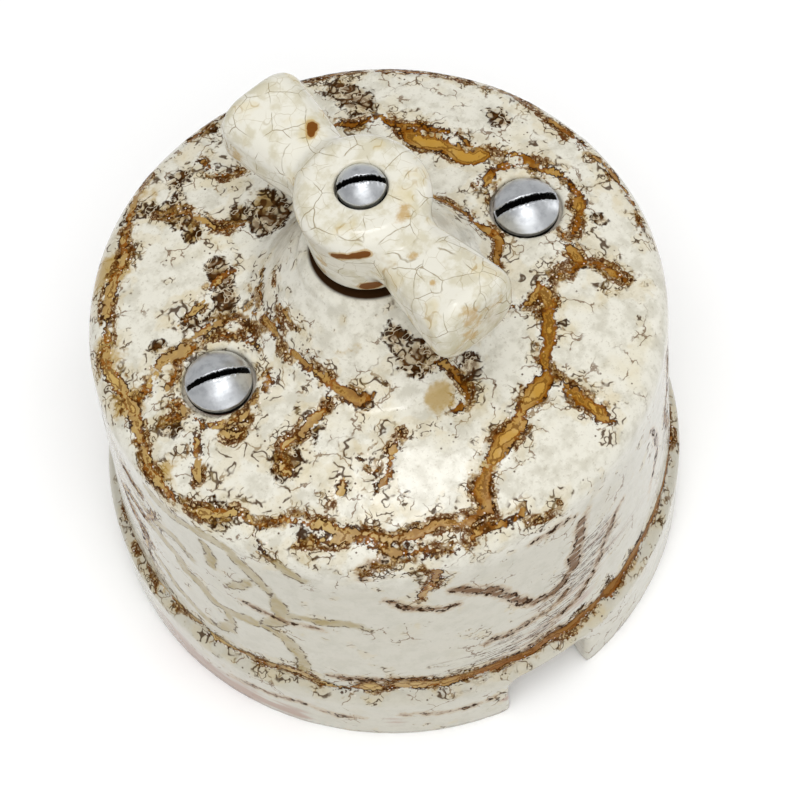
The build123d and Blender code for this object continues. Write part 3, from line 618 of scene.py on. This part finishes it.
def make_knob():
    """The glazed knob."""
    low, high = box_mm("knob")
    points, normals, quads = implicit_mesh(knob_distance(), low, high, step=0.27)
    turn = math.radians(KNOB_TURN)
    own = points @ np.array([[math.cos(turn), -math.sin(turn), 0],
                             [math.sin(turn), math.cos(turn), 0], [0, 0, 1]])
    spot = np.zeros(len(points))
    for place, size, strength in KNOB_SPOTS:
        spot += strength * np.exp(-((own - np.array(place)) ** 2).sum(1) / size ** 2)
    # end is 1 at the tips of the grip, where the glaze carries painted shade.
    end = np.clip((np.abs(own[:, 1]) - GRIP_LENGTH + 1.6) / 1.4, 0, 1)
    uneven = np.array([noise.noise(Vector(p) / 6) for p in points])
    return make_piece(
        "knob_grip", points - normals * (0.05 * (uneven + 1))[:, None], quads, "turning_parts",
        "glaze_knob", ("knob",), spot=np.clip(spot, 0, 1), end=end)


# ---- Screws -------------------------------------------------------------------------------
def screw_distance(centre_x, top, foot, radius, rim, dome, shank, slot, turn):
    """Distance function of a round-headed screw with a worn slot and a threaded shank."""
    top -= BURR
    seat = top - rim - dome
    head = turned(outline(
        (BEYOND_AXIS, seat), (radius, seat), (radius, seat + rim),
        ((radius * 0.62, seat + rim + dome * 0.72), (0, top)), (BEYOND_AXIS, top)), spacing=0.05)
    floor = top - 0.55 * (rim + dome)
    cosine, sine = math.cos(math.radians(turn)), math.sin(math.radians(turn))
    pitch = 0.35 * shank

    def distance(p):
        x, y, z = p[:, 0] - centre_x, p[:, 1], p[:, 2]
        u, v = x * cosine + y * sine, y * cosine - x * sine
        r = np.hypot(x, y)
        thread = np.abs((z / pitch - np.arctan2(y, x) / math.tau) % 1 - 0.5)
        rod = np.maximum(r - shank + 0.45 * pitch * thread, np.maximum(z - seat - 0.5, foot - z))
        ragged = 0.05 * np.sin(7.1 * u + 2 * np.sin(3.3 * u)) + 0.035 * np.sin(17 * u + centre_x)
        burr = BURR * np.exp(-((np.abs(v) - slot / 2 - 0.1) / 0.16) ** 2) * (0.6 + 9 * ragged)
        d = head(r, z) - burr * (z > seat + rim * 0.6)
        d = both(d, -np.maximum(np.abs(v) - slot / 2 - ragged, floor - z), 0.1)
        return np.minimum(d, rod)

    def grime(p):
        """Painted shade: how dark the metal is painted in the slot and at the foot of the head."""
        x, y, z = p[:, 0] - centre_x, p[:, 1], p[:, 2]
        v = y * cosine - x * sine
        r = np.hypot(x, y)
        surface = np.interp(r, (0, radius * 0.62, radius), (top, seat + rim + dome * 0.72, seat + rim))
        in_slot = np.clip((slot / 2 + 0.12 - np.abs(v)) / 0.1, 0, 1)
        in_slot *= np.clip((surface - z - 0.05) / 0.2, 0, 1)
        return np.maximum(in_slot, np.clip((seat + 0.75 * rim - z) / 0.5, 0, 1) * (r > radius * 0.9))

    return distance, grime


def make_screw(name, node, body, centre_x, top, foot, step, **shape):
    """One slotted screw, meshed finely enough for its thread and the burrs of its slot."""
    distance, grime = screw_distance(centre_x, top, foot, **shape)
    radius = shape["radius"]
    low, high = (centre_x - radius, -radius, foot), (centre_x + radius, radius, top)
    points, _, quads = implicit_mesh(distance, low, high, step)
    # grime holds the painted shade of the slot and of the head's foot.
    return make_piece(name, points, quads, body, "bright_steel", (node,), grime=grime(points))


def make_screws():
    """The two cover screws and the knob screw."""
    cover_shape = dict(radius=SCREW_HEAD_RADIUS, rim=1.1, dome=1.3, shank=1.95, turn=SLOT_TURN)
    knob_shape = dict(radius=2.55, rim=2.0, dome=1.1, shank=1.45, slot=0.74, turn=-24.0)
    screws = [make_screw(name, "cover_screws", "body", x, SCREW_TOP, SCREW_FOOT, 0.13,
                         slot=slot, **cover_shape)
              for name, x, slot in (("cover_screw_left", -SCREW_DISTANCE, 0.72),
                                    ("cover_screw_right", SCREW_DISTANCE, 0.9))]
    screws.append(make_screw("knob_fixing_screw", "knob_screw", "turning_parts", 0.0,
                             KNOB_SCREW_TOP, KNOB_SCREW_FOOT, 0.1, **knob_shape))
    return screws


# ---- Contact springs ----------------------------------------------------------------------
def make_contact_springs():
    """The two coil springs, with closed ends."""
    low, high = box_mm("contact_springs")
    wire, turns, sides, steps = 0.3, 5.5, 10, 220
    coil = high[1] - low[1]
    share = np.linspace(0, 1, steps)
    turn = share * turns * math.tau
    rise = np.interp(share, (0, 1 / turns, 1 - 1 / turns, 1), (0, 0.12, 0.88, 1))
    height = low[2] + wire + rise * (high[2] - low[2] - 2 * wire)
    outward = np.stack([np.cos(turn), np.sin(turn), 0 * turn], axis=1)
    middle = outward * (coil / 2 - wire) + np.outer(height, (0, 0, 1))
    across = np.cross(np.gradient(middle, axis=0), outward)
    across /= np.linalg.norm(across, axis=1)[:, None]
    angle = np.arange(sides)[:, None] * math.tau / sides
    ring = np.cos(angle) * outward[:, None] + np.sin(angle) * across[:, None]
    tube = (middle[:, None] + wire * ring).reshape(-1, 3)
    first = np.arange((steps - 1) * sides)
    beside = first - first % sides + (first + 1) % sides
    walls = np.stack([first, beside, beside + sides, first + sides], axis=1)
    cap = np.array([(0, 1, 2, 9), (9, 2, 3, 8), (8, 3, 4, 7), (7, 4, 5, 6)])
    quads = np.concatenate([walls, cap[:, ::-1], cap + (steps - 1) * sides])
    points = [tube + (x, high[1] - coil / 2, 0) for x in (low[0] + coil / 2, high[0] - coil / 2)]
    springs = make_piece("contact_spring_wire", np.concatenate(points),
                         np.concatenate([quads, quads + len(tube)]), "turning_parts",
                         "spring_steel", ("contact_springs",))
    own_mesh(springs)
    return springs


# ---- Materials ----------------------------------------------------------------------------
def linear(code):
    """Colour of a #RRGGBB code as the shader wants it."""
    parts = [int(code[i:i + 2], 16) / 255 for i in (1, 3, 5)]
    return [c / 12.92 if c <= 0.04045 else ((c + 0.055) / 1.055) ** 2.4 for c in parts] + [1.0]


class Paint:
    """One material's nodes. Each method returns an output socket, which feeds the next ones."""

    def __init__(self, name, **sockets):
        self.material = bpy.data.materials.new(name)
        self.material.use_nodes = True
        self.tree = self.material.node_tree
        self.shader = self.tree.nodes["Principled BSDF"]
        self.place = self.position()
        self.colour = None
        for socket, value in sockets.items():
            self.shader.inputs[socket.replace("_", " ")].default_value = value

    def feed(self, socket, value):
        """Links an output, or sets a colour code or number."""
        if isinstance(value, bpy.types.NodeSocket):
            self.tree.links.new(value, socket)
        else:
            socket.default_value = linear(value) if isinstance(value, str) else value

    def node(self, kind, result, inputs, **settings):
        """Adds a node, feeds its inputs and returns one of its outputs."""
        made = self.tree.nodes.new("ShaderNode" + kind)
        for setting, value in settings.items():
            setattr(made, setting, value)
        for socket, value in inputs.items():
            self.feed(made.inputs[socket], value)
        return made.outputs[result]

    def position(self, stretch=(1, 1, 1)):
        """Place on the object in millimetres, with each axis stretched."""
        place = self.node("TexCoord", "Object", {})
        scale = tuple(1000 * s for s in stretch)
        return self.node("VectorMath", 0, {0: place, 1: scale}, operation="MULTIPLY")

    def axis(self, name):
        """One coordinate of the place on the object."""
        return self.node("SeparateXYZ", name, {0: self.place})

    def painted(self, name):
        """An attribute of the mesh."""
        return self.node("Attribute", "Fac", {}, attribute_name=name)

    def math(self, operation, a, b=0.0, clamp=False):
        return self.node("Math", 0, {0: a, 1: b}, operation=operation, use_clamp=clamp)

    def add(self, a, b):
        return self.math("ADD", a, b)

    def all_of(self, *amounts):
        """Product of amounts."""
        made = amounts[0]
        for amount in amounts[1:]:
            made = self.math("MULTIPLY", made, amount)
        return made

    def step(self, value, low, high):
        """0 below low and 1 above high, or the other way round if low is above high."""
        return self.node("MapRange", 0, {0: value, 1: low, 2: high}, interpolation_type="SMOOTHSTEP")

    def band(self, value, centre, half_width):
        """1 where a value is at the centre, falling to 0 within the half width."""
        away = self.math("ABSOLUTE", self.math("SUBTRACT", value, centre))
        return self.step(away, half_width, half_width / 3)

    def noise(self, scale, detail=2.0, roughness=0.5, place=None, result="Fac"):
        return self.node("TexNoise", result, {
            "Vector": place or self.place, "Scale": scale, "Detail": detail, "Roughness": roughness})

    def clouds(self, low, high, *noise):
        """Soft patches of 1 on 0, where a noise is above a level."""
        return self.step(self.noise(*noise), low, high)

    def sway(self, reach, *noise):
        """Noise that runs both ways round 0."""
        return self.all_of(self.math("SUBTRACT", self.noise(*noise), 0.5), reach)

    def cells(self, scale, place=None, result="Distance", feature="DISTANCE_TO_EDGE"):
        inputs = {"Vector": place or self.place, "Scale": scale}
        return self.node("TexVoronoi", result, inputs, feature=feature)

    def warped(self, scale, reach):
        """The place moved by noise, by up to about half the reach."""
        shift = self.noise(scale, result="Color")
        centred = self.node("VectorMath", 0, {0: shift, 1: (0.5, 0.5, 0.5)}, operation="SUBTRACT")
        scaled = self.node("VectorMath", 0, {0: centred, "Scale": reach}, operation="SCALE")
        return self.node("VectorMath", 0, {0: self.place, 1: scaled}, operation="ADD")

    def mix(self, amount, a, b):
        """Colour a, changed to b by the amount."""
        return self.node("Mix", 2, {0: amount, 6: a, 7: b}, data_type="RGBA")

    def over(self, colour, tint, *amounts):
        """The colour, changed to a tint by the product of the amounts."""
        return self.mix(self.all_of(*amounts), colour, tint)

    def coat(self, tint, *amounts):
        """Lays a tint over the material's own colour."""
        self.colour = self.over(self.colour, tint, *amounts)

    def shine_where_light(self):
        """Leaves the glaze glossy and its dark marks matt."""
        shine = self.step(self.node("RGBToBW", 0, {0: self.colour}), 0.02, 0.35)
        self.feed(self.shader.inputs["Specular IOR Level"], self.all_of(shine, 0.37))
        self.feed(self.shader.inputs["Coat Weight"], self.all_of(shine, 0.14))

    def finish(self, roughness=None, height=None, bump=0.0):
        """Feeds the shader and returns the material. bump is the height's size in millimetres."""
        self.feed(self.shader.inputs["Base Color"], self.colour)
        if roughness is not None:
            self.feed(self.shader.inputs["Roughness"], roughness)
        if height is not None:
            normal = self.node("Bump", 0, {"Height": height, "Distance": bump * MM, "Strength": 1.0})
            self.feed(self.shader.inputs["Normal"], normal)
        return self.material


def cream_ground(paint):
    """Mottled cream glaze under everything else, with painted shade that makes the wall greyer than
    the top.
    """
    cloud = paint.noise(0.5, 5.0, 0.62)
    broad = paint.clouds(0.52, 0.68, 0.16, 3.0)
    fine = paint.clouds(0.55, 0.7, 2.4, 3.0, 0.7)
    # Painted shade: the wall below the top edge is painted greyer and darker than the top, for the
    # lower light on it.
    painted_wall_shade = paint.step(paint.axis("Z"), WALL_TOP + 2, WALL_TOP - 4)
    paint.colour = paint.mix(paint.step(cloud, 0.42, 0.66), "#DBD8CB", "#C6C2B3")
    paint.coat("#D0C4A0", broad, 0.35)
    paint.coat("#968A74", fine, 0.35)
    paint.coat("#B7B3A4", painted_wall_shade, 0.7)


def squiggles(paint, scale, width, shift):
    """Thin winding lines and loops: the contour of a smooth noise."""
    moved = paint.node("VectorMath", 0, {0: paint.place, 1: (shift,) * 3}, operation="ADD")
    return paint.band(paint.noise(scale, 1.2, 0.45, moved), 0.5, width)


def specks(paint, scale, edge, core, rarity):
    """Round dots in some of the cells of a random grid, full within the core."""
    dots = paint.step(paint.cells(scale, feature="F1"), edge, core)
    shade = paint.cells(scale, result="Color", feature="F1")
    return paint.all_of(dots, paint.step(shade, rarity, rarity + 0.04))


def crackle(paint):
    """Fine brown cracks, worm-like squiggles and specks, most of them near the veins."""
    bent = paint.warped(0.9, 1.6)
    broken = paint.clouds(0.42, 0.5, 0.55, 2.0)
    near = paint.all_of(paint.step(paint.painted("vein"), 3.5, 0.3), 0.17)
    lines = paint.step(paint.cells(0.3, bent), 0.032, 0.01)
    here = paint.step(paint.add(paint.noise(0.16, 3.0), near), 0.52, 0.6)
    paint.coat("#6A4E33", lines, here, broken, 0.8)
    for scale, shift, spread, rarity in ((0.62, 40.0, 0.24, 0.63), (1.15, 71.0, 0.33, 0.64)):
        worms = squiggles(paint, scale, 0.035 + 0.02 * scale, shift)
        field = paint.add(paint.noise(spread, 3.0), near)
        where = paint.step(field, rarity, rarity + 0.06)
        blush = paint.band(field, rarity + 0.1, 0.12)
        paint.coat("#C2AC74", blush, 0.22)
        paint.coat("#402812", worms, where, broken, 0.9)
    paint.coat("#4B3524", specks(paint, 1.25, 0.2, 0.12, 0.6), here, 0.9)


def dark_patches(paint):
    """Clusters of dark brown squiggles on an ochre blush."""
    ragged = paint.add(paint.painted("patch"), paint.sway(1.3, 0.6, 3.0, 0.6))
    stained = paint.add(paint.painted("stain"), paint.sway(1.1, 0.6, 3.0, 0.6))
    paint.coat("#AC8D44", paint.step(stained, 0.35, 0.75), 0.8)
    paint.coat("#96793A", paint.step(ragged, 0.38, 0.8), 0.6)
    inside = paint.step(ragged, 0.36, 0.5)
    for scale, width, shift in ((0.5, 0.075, 3.0), (0.85, 0.085, 17.0)):
        lines = squiggles(paint, scale, width, shift)
        paint.coat("#301904", lines, inside, 0.95)
    lumps = paint.clouds(0.45, 0.55, 1.2, 2.0)
    paint.coat("#5A3A1A", paint.step(ragged, 0.7, 0.95), lumps, 0.6)
    chips = paint.band(paint.noise(1.1, 1.0), 0.4, 0.035)
    paint.coat("#DDD0B4", chips, inside, 0.6)


def streaks(paint):
    """Purple-grey and brown streaks, smeared level round the wall."""
    level = paint.position((0.22, 0.22, 1.7))
    smear = paint.painted("smear")
    smeared = paint.add(smear, paint.sway(1.2, 0.4, 3.0, 0.5, level))
    strands = paint.band(paint.noise(0.75, 5.0, 0.7, level), 0.5, 0.035)
    wash = paint.clouds(0.5, 0.68, 0.5, 4.0, 0.6, level)
    where = paint.all_of(paint.step(smeared, 0.35, 0.8), paint.step(smear, 0.04, 0.2))
    paint.coat("#A98B72", wash, where, 0.5)
    paint.coat("#4A2C18", strands, where, 0.9)
    rust = paint.painted("rust")
    rusted = paint.add(rust, paint.sway(1.4, 0.5, 4.0, 0.65, level))
    there = paint.step(rust, 0.04, 0.2)
    paint.coat("#9C7866", paint.step(rusted, 0.4, 0.9), there, 0.75)
    edge = paint.add(paint.painted("streak"), paint.sway(1.4, 1.2, 2.0, 0.6))
    strand = paint.clouds(0.36, 0.48, 1.2, 4.0, 0.7, level)
    paint.coat("#A98A58", paint.step(edge, 1.0, 0.2), 0.5)
    paint.coat("#68441F", paint.step(edge, 0.5, -0.1), strand, 0.9)
    dashes = paint.clouds(0.46, 0.54, 1.1, 2.0)
    paint.coat("#2A170B", paint.band(edge, 0.1, 0.22), dashes, 0.95)


def pale_lines(paint):
    """Soft olive lines with a few thin dark dashes along them."""
    edge = paint.add(paint.painted("pale"), paint.sway(1.3, 0.8, 3.0, 0.6))
    strength = paint.math("ADD", paint.all_of(paint.noise(0.35, 2.0), 1.2), 0.15, clamp=True)
    paint.coat("#94803E", paint.step(edge, 0.95, 0.1), strength)
    dashes = paint.clouds(0.46, 0.54, 0.9, 2.0)
    paint.coat("#4C371F", paint.band(edge, 0.45, 0.16), dashes, 0.85)


def veins(paint):
    """Golden-ochre veins with ragged dark lines along them and a fringe of tiny loops."""
    vein = paint.painted("vein")
    ragged = paint.add(paint.sway(1.5, 0.6, 2.0, 0.55), paint.sway(0.8, 2.2, 1.0))
    edge = paint.add(vein, ragged)
    broken = paint.clouds(0.36, 0.46, 0.5, 2.0)
    some = paint.clouds(0.46, 0.58, 0.33, 2.0)
    fringe = paint.step(edge, 0.85, 0.45)
    paint.coat("#B5924C", fringe, paint.step(some, 0.0, 0.5), 0.6)
    for scale, width, shift in ((1.2, 0.08, 5.0), (2.1, 0.13, 9.0)):
        loops = squiggles(paint, scale, width, shift)
        paint.coat("#4E2806", loops, fringe, some, 0.8)
    core = paint.step(edge, 0.08, -0.06)
    along = paint.add(vein, paint.sway(1.4, 0.8, 4.0, 0.6))
    fill = paint.mix(paint.step(along, 0.0, -0.5), "#7C4A0C", "#B2862F")
    tone = paint.clouds(0.44, 0.62, 0.28, 2.0)
    fill = paint.over(fill, "#B8944C", tone, 0.6)
    left = paint.step(paint.axis("X"), 0.0, -22.0)
    fill = paint.over(fill, "#C2AC72", left, 0.45)
    low = paint.step(paint.axis("Z"), 15.0, 13.0)
    right = paint.step(paint.axis("X"), -18.0, -4.0)
    fill = paint.over(fill, "#7A4514", low, right, 0.7)
    fill = paint.over(fill, "#5C3007", paint.band(along, -0.4, 0.14), 0.7)
    paint.coat(fill, core)
    border = paint.all_of(paint.band(edge, 0.04, 0.17), broken)
    dark = paint.mix(paint.clouds(0.35, 0.65, 0.6, 1.0), "#2E1403", "#865012")
    paint.coat(dark, border, 0.95)
    hairs = paint.clouds(0.55, 0.61, 2.6, 1.0)
    paint.coat("#3A1B04", paint.band(edge, 0.27, 0.31), hairs, broken, 0.9)
    paint.coat("#562D07", paint.band(edge, 0.6, 0.12), some, broken, 0.85)
    flecks = specks(paint, 2.0, 0.26, 0.16, 0.72)
    paint.coat("#EDE0D4", flecks, paint.band(edge, 0.35, 0.8), 0.85)
    return core, border


def cover_glaze():
    """Crackle glaze of the cover, with painted shade on the boss top under the hub."""
    paint = Paint("cover_glaze", IOR=1.5, Coat_Roughness=0.04)
    cream_ground(paint)
    crackle(paint)
    pale_lines(paint)
    streaks(paint)
    dark_patches(paint)
    core, border = veins(paint)
    plain = paint.mix(paint.noise(0.3, 4.0, 0.6), "#E9E4D8", "#D8D0C0")
    paint.colour = paint.mix(paint.painted("outside"), plain, paint.colour)
    # Painted shade: the top of the boss in the gap under the hub is painted near black, for the hub's
    # shadow.
    flat = paint.node("VectorMath", 0, {0: paint.place, 1: (1, 1, 0)}, operation="MULTIPLY")
    radius = paint.node("VectorMath", "Value", {0: flat}, operation="LENGTH")
    hub_gap_shade = paint.step(radius, 6.75, 6.3)
    high = paint.step(paint.axis("Z"), BOSS_TOP - 2, BOSS_TOP - 1)
    paint.coat("#2F1D0E", high, hub_gap_shade)
    paint.shine_where_light()
    ripple = paint.noise(0.5, 3.0, 0.5)
    height = paint.math("SUBTRACT", paint.all_of(ripple, 0.8), paint.all_of(border, 0.25))
    roughness = paint.add(0.17, paint.all_of(core, 0.1))
    return paint.finish(roughness, height, 0.12)


def knob_glaze():
    """Ivory glaze of the knob, with a net of thin olive-grey cracks and painted shade on the tips of
    the grip.
    """
    paint = Paint("knob_glaze", IOR=1.5, Coat_Roughness=0.04)
    cloud = paint.noise(0.45, 4.0, 0.6)
    paint.colour = paint.mix(paint.step(cloud, 0.44, 0.64), "#DAD7CA", "#C9C3AD")
    blush = paint.clouds(0.52, 0.68, 0.25, 3.0)
    paint.coat("#CDBD8C", blush, 0.5)
    # Painted shade: the tips of the grip are painted greyer olive, in patches.
    grip_end_shade_patches = paint.clouds(0.35, 0.6, 0.5, 4.0, 0.6)
    paint.coat("#B9B294", paint.painted("end"), grip_end_shade_patches, 0.7)
    bent = paint.warped(0.4, 0.9)
    strong = paint.clouds(0.38, 0.54, 0.4, 2.0)
    for scale, width, amount, tint in ((0.27, 0.017, 0.7, "#7C6A42"), (0.55, 0.022, 0.35, "#9A8858")):
        lines = paint.step(paint.cells(scale, bent), width, width * 0.3)
        paint.coat(tint, lines, strong, amount)
    worms = squiggles(paint, 0.5, 0.03, 12.0)
    paint.coat("#A98E58", worms, blush, 0.7)
    spot = paint.add(paint.painted("spot"), paint.sway(0.7, 0.9, 3.0, 0.6))
    paint.coat("#B28E48", paint.step(spot, 0.22, 0.5), 0.75)
    paint.coat("#6B3A08", paint.step(spot, 0.55, 0.72), 0.95)
    paint.shine_where_light()
    ripple = paint.noise(0.45, 3.0, 0.5)
    return paint.finish(0.17, ripple, 0.08)


def bright_steel():
    """Polished screw heads with fine scratches, and painted shade, near black and rough, in the slot
    and at the foot of the head.
    """
    paint = Paint("bright_steel", Metallic=1.0)
    scratches = paint.noise(1.0, 3.0, 0.6, paint.position((0.8, 4.0, 2.0)))
    tarnish = paint.noise(0.9, 4.0, 0.6)
    paint.colour = paint.mix(paint.step(tarnish, 0.4, 0.7), "#E2E5E8", "#C6C9CD")
    # Painted shade: the slot and the foot of the head are painted near black and made rougher.
    painted_recess_shade = paint.painted("grime")
    paint.coat("#22201D", paint.step(painted_recess_shade, 0.15, 0.6))
    worn = paint.add(paint.all_of(scratches, 0.16), 0.26)
    roughness = paint.add(worn, paint.all_of(painted_recess_shade, 0.5))
    return paint.finish(roughness, scratches, 0.004)


def plain_metal(name, light, dark, roughness, grain=1.0):
    """Metal with a drawn or rolled grain and uneven tarnish."""
    paint = Paint(name, Metallic=1.0)
    tarnish = paint.noise(0.5, 5.0, 0.65)
    lines = paint.noise(1.0, 3.0, 0.6, paint.position((0.6 * grain, 0.6 * grain, 7.0)))
    paint.colour = paint.mix(paint.step(tarnish, 0.38, 0.68), light, dark)
    rough = paint.add(paint.all_of(lines, 0.18), roughness)
    return paint.finish(rough, lines, 0.01)


def steatite():
    """Matt, faintly speckled pressed ceramic."""
    paint = Paint("steatite", IOR=1.5)
    cloud = paint.noise(0.25, 4.0, 0.6)
    dots = paint.clouds(0.64, 0.72, 3.5, 2.0)
    paint.colour = paint.mix(cloud, "#E6DFD0", "#CFC6B4")
    paint.coat("#8E8270", dots, 0.5)
    return paint.finish(0.55, paint.noise(2.2, 4.0, 0.7), 0.03)


def phenolic():
    """Dark moulded plastic of the cam."""
    paint = Paint("cam_plastic", IOR=1.55)
    paint.colour = paint.mix(paint.noise(0.8, 5.0, 0.7), "#2B1A12", "#3C271B")
    rough = paint.add(paint.all_of(paint.noise(1.5, 3.0), 0.3), 0.2)
    return paint.finish(rough, paint.noise(4.0, 2.0), 0.01)


def fibre():
    """Red-brown vulcanised fibre with a pressed grain."""
    paint = Paint("fibre", IOR=1.5)
    threads = paint.noise(1.0, 4.0, 0.7, paint.position((2.0, 0.5, 3.0)))
    paint.colour = paint.mix(threads, "#6A3B27", "#8A5236")
    return paint.finish(0.65, threads, 0.03)


def dress(piece, material):
    """Gives a piece one material."""
    if not piece.data.materials:
        piece.data.materials.append(material)
    for number in range(len(piece.material_slots)):
        piece.material_slots[number].material = material


def numbered(name):
    """Names of the four nodes of one kind."""
    return [f"{name}_{number}" for number in (1, 2, 3, 4)]


def dress_cad_nodes():
    """Gives every CAD node that shows its material."""
    brass = plain_metal("brass", "#D9B45C", "#B98F40", 0.22)
    zinc = plain_metal("zinc_steel", "#C5C8C6", "#9EA29E", 0.3)
    spring = plain_metal("spring_steel", "#9A9DA3", "#6A6D74", 0.2, 3.0)
    shaft = plain_metal("shaft_steel", "#BFC1C3", "#94979A", 0.22)
    bronze = plain_metal("bronze", "#C98F5C", "#9C6637", 0.28)
    silver = plain_metal("silver", "#E9E8E4", "#BEBCB6", 0.25)
    for finish, names in (
        (steatite(), ("base_plate", "rotor")),
        (brass, ("lower_pillars", "upper_pillars", "bearing_bush", "lower_bush", "knob_insert",
                 *numbered("terminal_block"), *numbered("contact_strip"), "strip_rivets")),
        (zinc, ("bridge_plate", "pillar_base_screws", "terminal_screws", "spring_pins",
                "thrust_washer")),
        (spring, ("detent_spring_upper", "detent_spring_lower", "retaining_ring")),
        (shaft, ("spindle",)),
        (bronze, ("moving_contact",)),
        (silver, ("moving_contact_tips", "fixed_contact_tips")),
        (phenolic(), ("detent_cam",)),
        (fibre(), ("cover_screw_washers", "knob_screw_washer")),
    ):
        for node in names:
            dress(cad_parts[node], finish)


# ---- Camera, floor and light --------------------------------------------------------------
def add_camera():
    """Camera above the notch side, a little to the left and slightly rolled."""
    azimuth, elevation, roll = math.radians(-25.6), math.radians(62.41), math.radians(-7.08)
    distance = 0.300
    back = Vector((math.sin(azimuth) * math.cos(elevation),
                   -math.cos(azimuth) * math.cos(elevation), math.sin(elevation)))
    data = bpy.data.cameras.new("camera")
    data.sensor_width = 36.0
    data.lens = 112.2
    data.shift_x, data.shift_y = 0.0128, 0.0193
    data.clip_start = 0.01
    camera = bpy.data.objects.new("camera", data)
    bpy.context.scene.collection.objects.link(camera)
    turn = (-back).to_track_quat("-Z", "Y").to_matrix().to_4x4()
    place = Matrix.Translation(Vector((0, 0, 0.015)) + back * distance)
    camera.matrix_world = place @ turn @ Matrix.Rotation(roll, 4, "Z")
    bpy.context.scene.camera = camera


def add_floor():
    """Wide pale floor."""
    mesh = bpy.data.meshes.new("floor")
    half = 4.0
    corners = [(-half, -half, 0), (half, -half, 0), (half, half, 0), (-half, half, 0)]
    mesh.from_pydata(corners, [], [(0, 1, 2, 3)])
    floor = bpy.data.objects.new("floor", mesh)
    bpy.context.scene.collection.objects.link(floor)
    paint = Paint("floor", Roughness=0.9)
    paint.colour = "#FFFFFF"
    dress(floor, paint.finish())


def add_softbox(name, place, width, height, power, target, mirrored=True):
    """One rectangular soft light, turned to its target, seen in glossy surfaces if mirrored."""
    data = bpy.data.lights.new(name, "AREA")
    data.shape = "RECTANGLE"
    data.size, data.size_y, data.energy = width, height, power
    light = bpy.data.objects.new(name, data)
    light.location = place
    light.rotation_euler = (Vector(target) - Vector(place)).to_track_quat("-Z", "Y").to_euler()
    light.visible_glossy = mirrored
    bpy.context.scene.collection.objects.link(light)


def add_lights():
    """Broad lights above, a small one that glints on the glaze, and two at the sides."""
    world = bpy.data.worlds.new("room")
    world.use_nodes = True
    background = world.node_tree.nodes["Background"]
    background.inputs["Color"].default_value = (1.0, 1.0, 1.0, 1.0)
    background.inputs["Strength"].default_value = 0.5
    bpy.context.scene.world = world
    middle = (0, 0, 0.03)
    add_softbox("overhead", (-0.1, -0.18, 0.6), 0.45, 0.45, 1.8, middle, mirrored=False)
    add_softbox("panel", (-0.08, -0.2, 0.55), 0.42, 0.38, 0.5, (-0.08, -0.2, 0))
    add_softbox("glint", (0.04, 0.05, 0.62), 0.15, 0.11, 0.35, (0.04, 0.05, 0))
    add_softbox("right", (0.62, -0.05, 0.26), 0.12, 0.4, 0.25, middle)
    add_softbox("front", (-0.1, -0.6, 0.45), 0.6, 0.3, 0.35, middle)
    bpy.context.scene.view_settings.view_transform = "Standard"


# ---- Build --------------------------------------------------------------------------------
add_camera()
add_floor()
add_lights()
dress(make_cover(), cover_glaze())
dress(make_knob(), knob_glaze())
steel = bright_steel()
for screw in make_screws():
    dress(screw, steel)
dress(make_contact_springs(), plain_metal("coil_steel", "#9A9DA3", "#6A6D74", 0.2, 3.0))
dress_cad_nodes()
